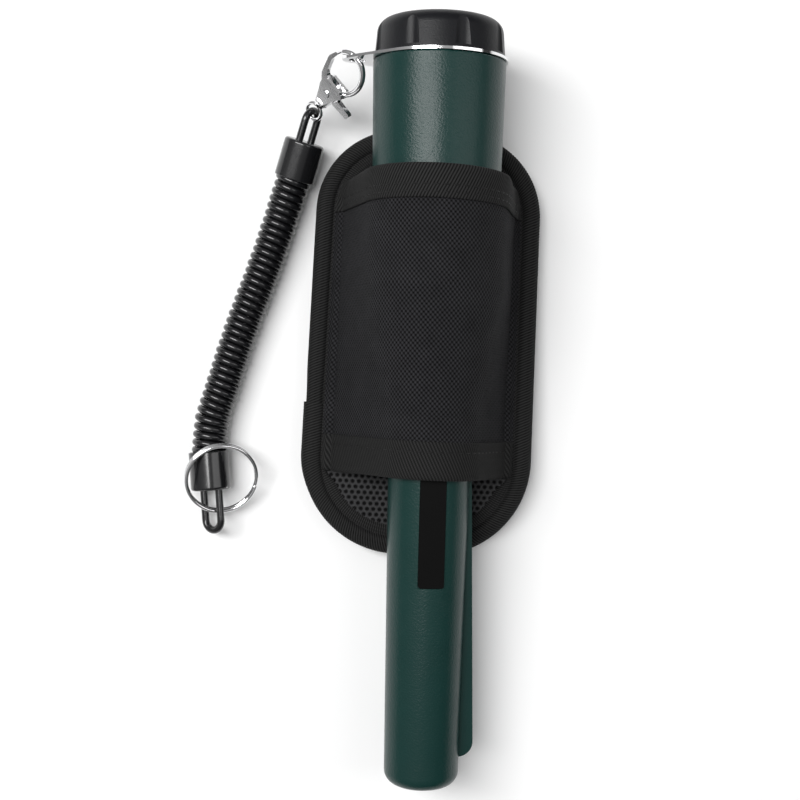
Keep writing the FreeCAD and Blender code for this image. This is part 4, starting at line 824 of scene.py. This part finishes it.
class Finish:
    """A procedural material: textures are joined into one Principled shader."""

    def __init__(self, name, color, roughness, metallic=0.0, sheen=0.0, coat=0.0):
        self.material = bpy.data.materials.new(name)
        self.material.use_nodes = True
        self.tree = self.material.node_tree
        self.shader = self.tree.nodes["Principled BSDF"]
        self.color = (*color, 1.0)
        self.shader.inputs["Base Color"].default_value = self.color
        self.shader.inputs["Roughness"].default_value = roughness
        self.shader.inputs["Metallic"].default_value = metallic
        self.shader.inputs["Sheen Weight"].default_value = sheen
        self.shader.inputs["Sheen Roughness"].default_value = 0.5
        self.shader.inputs["Coat Weight"].default_value = coat
        self.shader.inputs["Coat Roughness"].default_value = 0.12
        self.roughness = roughness
        self.normal = None
        self.place = self.node("ShaderNodeTexCoord").outputs["Object"]

    def node(self, kind, inputs=None, **settings):
        """A node with its settings, and its inputs set or joined."""
        made = self.tree.nodes.new(kind)
        for key, value in settings.items():
            setattr(made, key, value)
        for key, value in (inputs or {}).items():
            if isinstance(value, bpy.types.NodeSocket):
                self.tree.links.new(value, made.inputs[key])
            else:
                made.inputs[key].default_value = value
        return made

    def math(self, operation, *values):
        """One arithmetic step on numbers or sockets."""
        made = self.node("ShaderNodeMath", operation=operation)
        for socket, value in zip(made.inputs, values):
            if isinstance(value, bpy.types.NodeSocket):
                self.tree.links.new(value, socket)
            else:
                socket.default_value = value
        return made.outputs[0]

    def noise(self, size, detail=3.0, place=None):
        """Noise whose grains are about this many millimetres across."""
        made = self.node("ShaderNodeTexNoise", {"Vector": place or self.place, "Scale": 1 / (size * MM),
                                                "Detail": detail, "Roughness": 0.55})
        return made.outputs[0]

    def bump(self, height, depth, strength=1.0):
        """Adds relief of this depth in millimetres on top of what is there."""
        made = self.node("ShaderNodeBump", {"Height": height, "Distance": depth * MM, "Strength": strength})
        if self.normal is not None:
            self.tree.links.new(self.normal, made.inputs["Normal"])
        self.normal = made.outputs[0]
        self.tree.links.new(self.normal, self.shader.inputs["Normal"])
        return self

    def tint(self, factor, dark, light):
        """The colour runs from dark to light, as multiples of the base colour, with the factor."""
        low = self.node("ShaderNodeMix", {"Factor": factor}, data_type="RGBA")
        low.inputs[6].default_value = tuple(c * dark for c in self.color[:3]) + (1.0,)
        low.inputs[7].default_value = tuple(min(1.0, c * light) for c in self.color[:3]) + (1.0,)
        self.tree.links.new(low.outputs[2], self.shader.inputs["Base Color"])
        return self

    def wear(self, size, spread):
        """Uneven roughness in patches of this size."""
        scaled = self.math("MULTIPLY_ADD", self.noise(size), 2 * spread, self.roughness - spread)
        self.tree.links.new(scaled, self.shader.inputs["Roughness"])
        return self

    def grain(self, size, depth, detail=3.0):
        """Adds noise relief of this size and depth in millimetres."""
        return self.bump(self.noise(size, detail), depth)

    def cloth(self):
        """The weave's two coordinates in millimetres, and how high the thread stands, from 0 to 1."""
        stored = self.node("ShaderNodeAttribute", attribute_name="cloth").outputs["Vector"]
        split = self.node("ShaderNodeSeparateXYZ", {"Vector": stored})
        return split.outputs[0], split.outputs[1], split.outputs[2]

    def wave(self, value, pitch, power=1.0):
        """Rounded ridges, one each pitch."""
        swing = self.math("ABSOLUTE", self.math("SINE", self.math("MULTIPLY", value, math.pi / pitch)))
        return self.math("POWER", swing, power)


def plastic(name, color, roughness, grain_size, grain_depth, coat=0.0, patches=9.0, specular=0.5):
    """Moulded plastic: faint patches of colour and roughness, and a fine grain."""
    made = Finish(name, color, roughness, coat=coat)
    made.shader.inputs["Specular IOR Level"].default_value = specular
    made.tint(made.noise(patches), 0.92, 1.08).wear(patches * 0.6, 0.05)
    made.grain(grain_size, grain_depth, 2.0)
    return made.grain(grain_size * 14, grain_depth * 0.35, 1.0).material


def metal(name, color, roughness, scratch=0.004):
    """Bright metal with faint smears and scratches."""
    made = Finish(name, color, roughness, metallic=1.0)
    made.tint(made.noise(1.5), 0.9, 1.05).wear(1.2, min(0.06, roughness * 0.6))
    return made.grain(0.5, scratch, 5.0).material


def woven(name, color, roughness, build, specular=0.07):
    """A dull material whose pattern comes from the build function."""
    made = Finish(name, color, roughness, sheen=0.02)
    made.shader.inputs["Specular IOR Level"].default_value = specular
    build(made)
    return made.material


def pocket_weave(made):
    """Painted highlights on the floats' crowns over painted shade in the gaps between them, with fibres along each
    float.
    """
    u, _, crown = made.cloth()
    fibres = made.math("ADD", made.wave(u, 0.2), made.noise(0.22, 2.0))
    # a noise makes the painted highlight stronger on some floats than on others
    uneven = made.math("MULTIPLY_ADD", made.noise(7.0), 0.7, 0.65)
    # painted highlight and shade: the colour grows with the float's height, 0.12 times the base colour in the
    # gaps, 9.5 times on the crowns
    made.tint(made.math("MULTIPLY", made.math("POWER", crown, 2.4), uneven), 0.12, 9.5)
    made.bump(fibres, 0.04)
    made.grain(14.0, 0.25, 2.0)


def tape_weave(made):
    """Slanting ribs crossed by fine threads, with painted highlights on the rib tops and painted shade in the
    valleys.
    """
    _, v, ridges = made.cloth()
    threads = made.wave(v, 0.34)
    # painted highlight and shade: the colour follows the ribs' height, 0.1 times the base colour in the valleys to
    # 6.5 times on the tops, a little darker between the fine threads
    sharp = made.math("POWER", ridges, 2.5)
    made.tint(made.math("MULTIPLY", sharp, made.math("MULTIPLY_ADD", threads, 0.3, 0.7)), 0.1, 6.5)
    made.bump(made.math("ADD", made.math("MULTIPLY", threads, 0.5), made.noise(0.2, 2.0)), 0.04)
    made.grain(9.0, 0.1, 2.0)


def spacer_mesh(made):
    """A net with painted shade in its holes."""
    u, v, net = made.cloth()
    rising = made.wave(made.math("ADD", u, v), 0.3)
    falling = made.wave(made.math("SUBTRACT", u, v), 0.3)
    threads = made.math("ADD", rising, falling)
    # painted shade: 0.15 times the base colour down in the holes; on the net a fine noise varies the tone at
    # random, up to 1.7 times
    made.tint(made.math("MULTIPLY", net, made.math("MULTIPLY_ADD", made.noise(1.0), 0.8, 0.5)), 0.15, 1.7)
    made.bump(threads, 0.05)


def plain_cover(made):
    """Plain cloth, seen on the back: its tone differs at random, with painted highlights on the threads' tops."""
    u, v, _ = made.cloth()
    threads = made.math("MULTIPLY", made.wave(u, 0.5), made.wave(v, 0.5))
    # partly tone that differs at random, partly painted highlight on the tops of the crossing threads and painted
    # shade between them
    made.tint(made.math("MULTIPLY_ADD", made.noise(5.0), 0.5, made.math("MULTIPLY", threads, 0.5)), 0.7, 1.6)
    made.bump(threads, 0.09)
    made.grain(12.0, 0.4, 2.0)


def strap_weave(made):
    """Heavy webbing: its tone differs at random, with painted highlights on the threads' tops."""
    u, _, thread_height = made.cloth()
    threads = made.math("MULTIPLY", made.wave(u, 0.55), thread_height)
    # partly tone that differs at random, partly painted highlight on the tops of the threads and painted shade
    # between them
    made.tint(made.math("MULTIPLY_ADD", made.noise(4.0), 0.4, made.math("MULTIPLY", threads, 0.6)), 0.6, 1.8)
    made.bump(threads, 0.08)


def printed_board(made):
    """Tracks on green lacquer."""
    tracks = made.node("ShaderNodeTexBrick", {"Vector": made.place, "Scale": 260.0, "Mortar Size": 0.012})
    made.tint(tracks.outputs["Fac"], 0.8, 1.5)
    made.bump(tracks.outputs["Fac"], 0.03)


def winding(made):
    """Close turns of wire, with painted shade in the grooves between turns."""
    around = made.node("ShaderNodeSeparateXYZ", {"Vector": made.place}).outputs[1]
    turns_of_wire = made.wave(around, 0.00022)
    # painted shade: 0.5 times the base colour in the grooves between turns, 1.1 times on their tops
    made.tint(turns_of_wire, 0.5, 1.1)
    made.bump(turns_of_wire, 0.06)


def cell_foam(made):
    """Open cells, with painted shade in their hollows."""
    cells = made.node("ShaderNodeTexVoronoi", {"Vector": made.place, "Scale": 1400.0})
    # painted shade: darker in the middle of each cell's hollow, lighter on the cell walls
    made.tint(cells.outputs["Distance"], 0.6, 1.5)
    made.bump(cells.outputs["Distance"], 0.2)


def battery_wrap(made):
    """A plain two-tone wrapper."""
    along = made.node("ShaderNodeSeparateXYZ", {"Vector": made.place}).outputs[1]
    made.tint(made.math("GREATER_THAN", made.wave(along, 0.034), 0.62), 0.7, 2.6)
    made.grain(3.0, 0.05)


def clear_lens():
    """Clear moulded plastic."""
    made = Finish("lens", (0.93, 0.95, 0.97), 0.14)
    made.shader.inputs["Transmission Weight"].default_value = 0.85
    made.shader.inputs["IOR"].default_value = 1.49
    made.wear(1.0, 0.04)
    return made.grain(0.7, 0.01).material


CLOTH_BLACK = (0.0033, 0.0033, 0.0036)
looks = {
    "green_plastic": plastic("green_plastic", (0.0058, 0.031, 0.0275), 0.31, 0.62, 0.085, specular=0.27),
    "black_plastic": plastic("black_plastic", (0.003, 0.003, 0.003), 0.5, 0.3, 0.012, specular=0.06),
    "cap_plastic": plastic("cap_plastic", (0.0055, 0.0058, 0.0075), 0.4, 0.45, 0.05, specular=0.25),
    "white_plastic": plastic("white_plastic", (0.78, 0.77, 0.72), 0.4, 0.5, 0.015),
    "board": woven("board", (0.012, 0.16, 0.06), 0.35, printed_board, 0.5),
    "switch": plastic("switch", (0.05, 0.05, 0.052), 0.35, 0.3, 0.01),
    "lamp": plastic("lamp", (0.9, 0.9, 0.82), 0.15, 0.6, 0.006, coat=0.5),
    "lens": clear_lens(),
    "battery": woven("battery", (0.06, 0.06, 0.065), 0.34, battery_wrap, 0.5),
    "motor": metal("motor", (0.62, 0.62, 0.62), 0.3),
    "ferrite": plastic("ferrite", (0.045, 0.045, 0.05), 0.6, 0.25, 0.03),
    "copper": woven("copper", (0.62, 0.25, 0.09), 0.32, winding, 0.5),
    "lead_red": plastic("lead_red", (0.55, 0.02, 0.015), 0.4, 0.4, 0.008),
    "lead_black": plastic("lead_black", (0.012, 0.012, 0.012), 0.4, 0.4, 0.008),
    "seal": plastic("seal", (0.01, 0.01, 0.01), 0.5, 0.3, 0.01),
    "foam": woven("foam", (0.03, 0.03, 0.032), 0.95, cell_foam),
    "steel": metal("steel", (0.86, 0.86, 0.87), 0.09),
    "cover_cloth": woven("cover_cloth", CLOTH_BLACK, 0.9, plain_cover),
    "lining_mesh": woven("lining_mesh", (0.032, 0.032, 0.033), 0.9, spacer_mesh),
    "pocket_cloth": woven("pocket_cloth", CLOTH_BLACK, 0.72, pocket_weave),
    "tape": woven("tape", (0.0052, 0.0052, 0.0052), 0.78, tape_weave),
    "webbing": woven("webbing", CLOTH_BLACK, 0.8, strap_weave),
    "thread": plastic("thread", (0.008, 0.008, 0.008), 0.55, 0.2, 0.02, specular=0.2),
    "sleeve": plastic("sleeve", (0.008, 0.008, 0.009), 0.2, 0.8, 0.012, coat=0.3),
    "cord": plastic("cord", (0.0065, 0.0065, 0.0075), 0.24, 0.9, 0.012, coat=0.25),
}
node_slots = {entry["node"]: entry["material_slot"] for entry in frame["record"]["subparts"]}


def dress(piece, look):
    """Gives a piece its look."""
    piece.data.materials.clear()
    piece.data.materials.append(looks[look])


for node, item in frame["nodes"].items():
    dress(item, node_slots[node])
for piece, look, slot in (
        (pad_lining, "lining_mesh", "cover_cloth"), (back_cover, "cover_cloth", "cover_cloth"),
        (binding, "tape", "tape"), (binding_seam, "thread", "tape"),
        (pocket, "pocket_cloth", "pocket_cloth"),
        (top_hem, "tape", "tape"), (bottom_hem, "tape", "tape"), (coil, "cord", "cord"),
        *((row, "thread", "tape") for row in hem_rows),
        *((part, "webbing", "webbing") for part in strap_parts),
        *((row, "thread", "webbing") for row in strap_rows)):
    dress(piece, look)


# ---------------------------------------------------------------- floor, light and camera

def studio_floor():
    mesh = bpy.data.meshes.new("floor")
    reach = FLOOR_REACH
    mesh.from_pydata([(-reach, -reach, 0), (reach, -reach, 0), (reach, reach, 0), (-reach, reach, 0)], [],
                     [(0, 1, 2, 3)])
    made = bpy.data.objects.new("floor", mesh)
    bpy.context.scene.collection.objects.link(made)
    paper = Finish("floor_paper", (0.93, 0.93, 0.93), 0.95)
    paper.shader.inputs["Specular IOR Level"].default_value = 0.0
    paper.tint(paper.noise(60.0), 0.995, 1.005)
    paper.grain(2.0, 0.01)
    mesh.materials.append(paper.material)


def soft_box(name, place, aim, width, height, power):
    """A rectangular lamp facing a point; lengths in metres."""
    lamp = bpy.data.lights.new(name, "AREA")
    lamp.shape = "RECTANGLE"
    lamp.size = width
    lamp.size_y = height
    lamp.energy = power
    made = bpy.data.objects.new(name, lamp)
    made.location = place
    made.rotation_euler = (Vector(aim) - Vector(place)).to_track_quat("-Z", "Y").to_euler()
    bpy.context.scene.collection.objects.link(made)


def studio_world():
    """Bright overhead and dark to one side for reflections; the camera itself sees a pale backdrop."""
    world = bpy.data.worlds.new("studio")
    world.use_nodes = True
    tree = world.node_tree
    place = tree.nodes.new("ShaderNodeTexCoord")
    lean = tree.nodes.new("ShaderNodeVectorMath")
    lean.operation = "DOT_PRODUCT"
    lean.inputs[1].default_value = BRIGHT_WAY
    ramp = tree.nodes.new("ShaderNodeValToRGB")
    tree.links.new(place.outputs["Generated"], lean.inputs[0])
    tree.links.new(lean.outputs["Value"], ramp.inputs[0])
    seen = tree.nodes.new("ShaderNodeLightPath")
    backdrop = tree.nodes.new("ShaderNodeMix")
    backdrop.data_type = "RGBA"
    tree.links.new(seen.outputs["Is Camera Ray"], backdrop.inputs["Factor"])
    tree.links.new(ramp.outputs[0], backdrop.inputs[6])
    backdrop.inputs[7].default_value = BACKDROP
    tree.links.new(backdrop.outputs[2], tree.nodes["Background"].inputs[0])
    ramp.color_ramp.elements[0].position = 0.0
    ramp.color_ramp.elements[0].color = (0.08, 0.08, 0.08, 1)
    ramp.color_ramp.elements[1].position = 1.0
    ramp.color_ramp.elements[1].color = (0.9, 0.9, 0.9, 1)
    tree.nodes["Background"].inputs[1].default_value = 0.5
    bpy.context.scene.world = world


def overhead_camera():
    turn = math.radians(CAMERA_TURN)
    lens = bpy.data.cameras.new("camera")
    lens.sensor_width = 36.0
    lens.lens = CAMERA_LENS
    lens.clip_start = 0.01
    lens.clip_end = 20.0
    made = bpy.data.objects.new("camera", lens)
    made.location = Vector(((cad_low.x + cad_high.x) / 2, (cad_low.y + cad_high.y) / 2, 0)) + CAMERA_OFFSET
    made.rotation_euler = (0, 0, turn)
    bpy.context.scene.collection.objects.link(made)
    bpy.context.scene.camera = made


FLOOR_REACH = 12.0
BRIGHT_WAY = (-0.4, 0.1, 0.9)
BACKDROP = (1.7, 1.7, 1.7, 1.0)
CAMERA_TURN = 2.7
CAMERA_LENS = 59.4
CAMERA_OFFSET = Vector((0.01217, 0.00167, 0.4205))
studio_floor()
studio_world()
soft_box("key", place=(-0.4, 0.15, 1.0), aim=(0, 0, 0), width=0.36, height=0.9, power=11.5)
soft_box("fill", place=(0.75, 0.1, 0.75), aim=(0, 0, 0), width=0.4, height=1.0, power=2.2)
overhead_camera()
bpy.context.scene.view_settings.view_transform = "Standard"
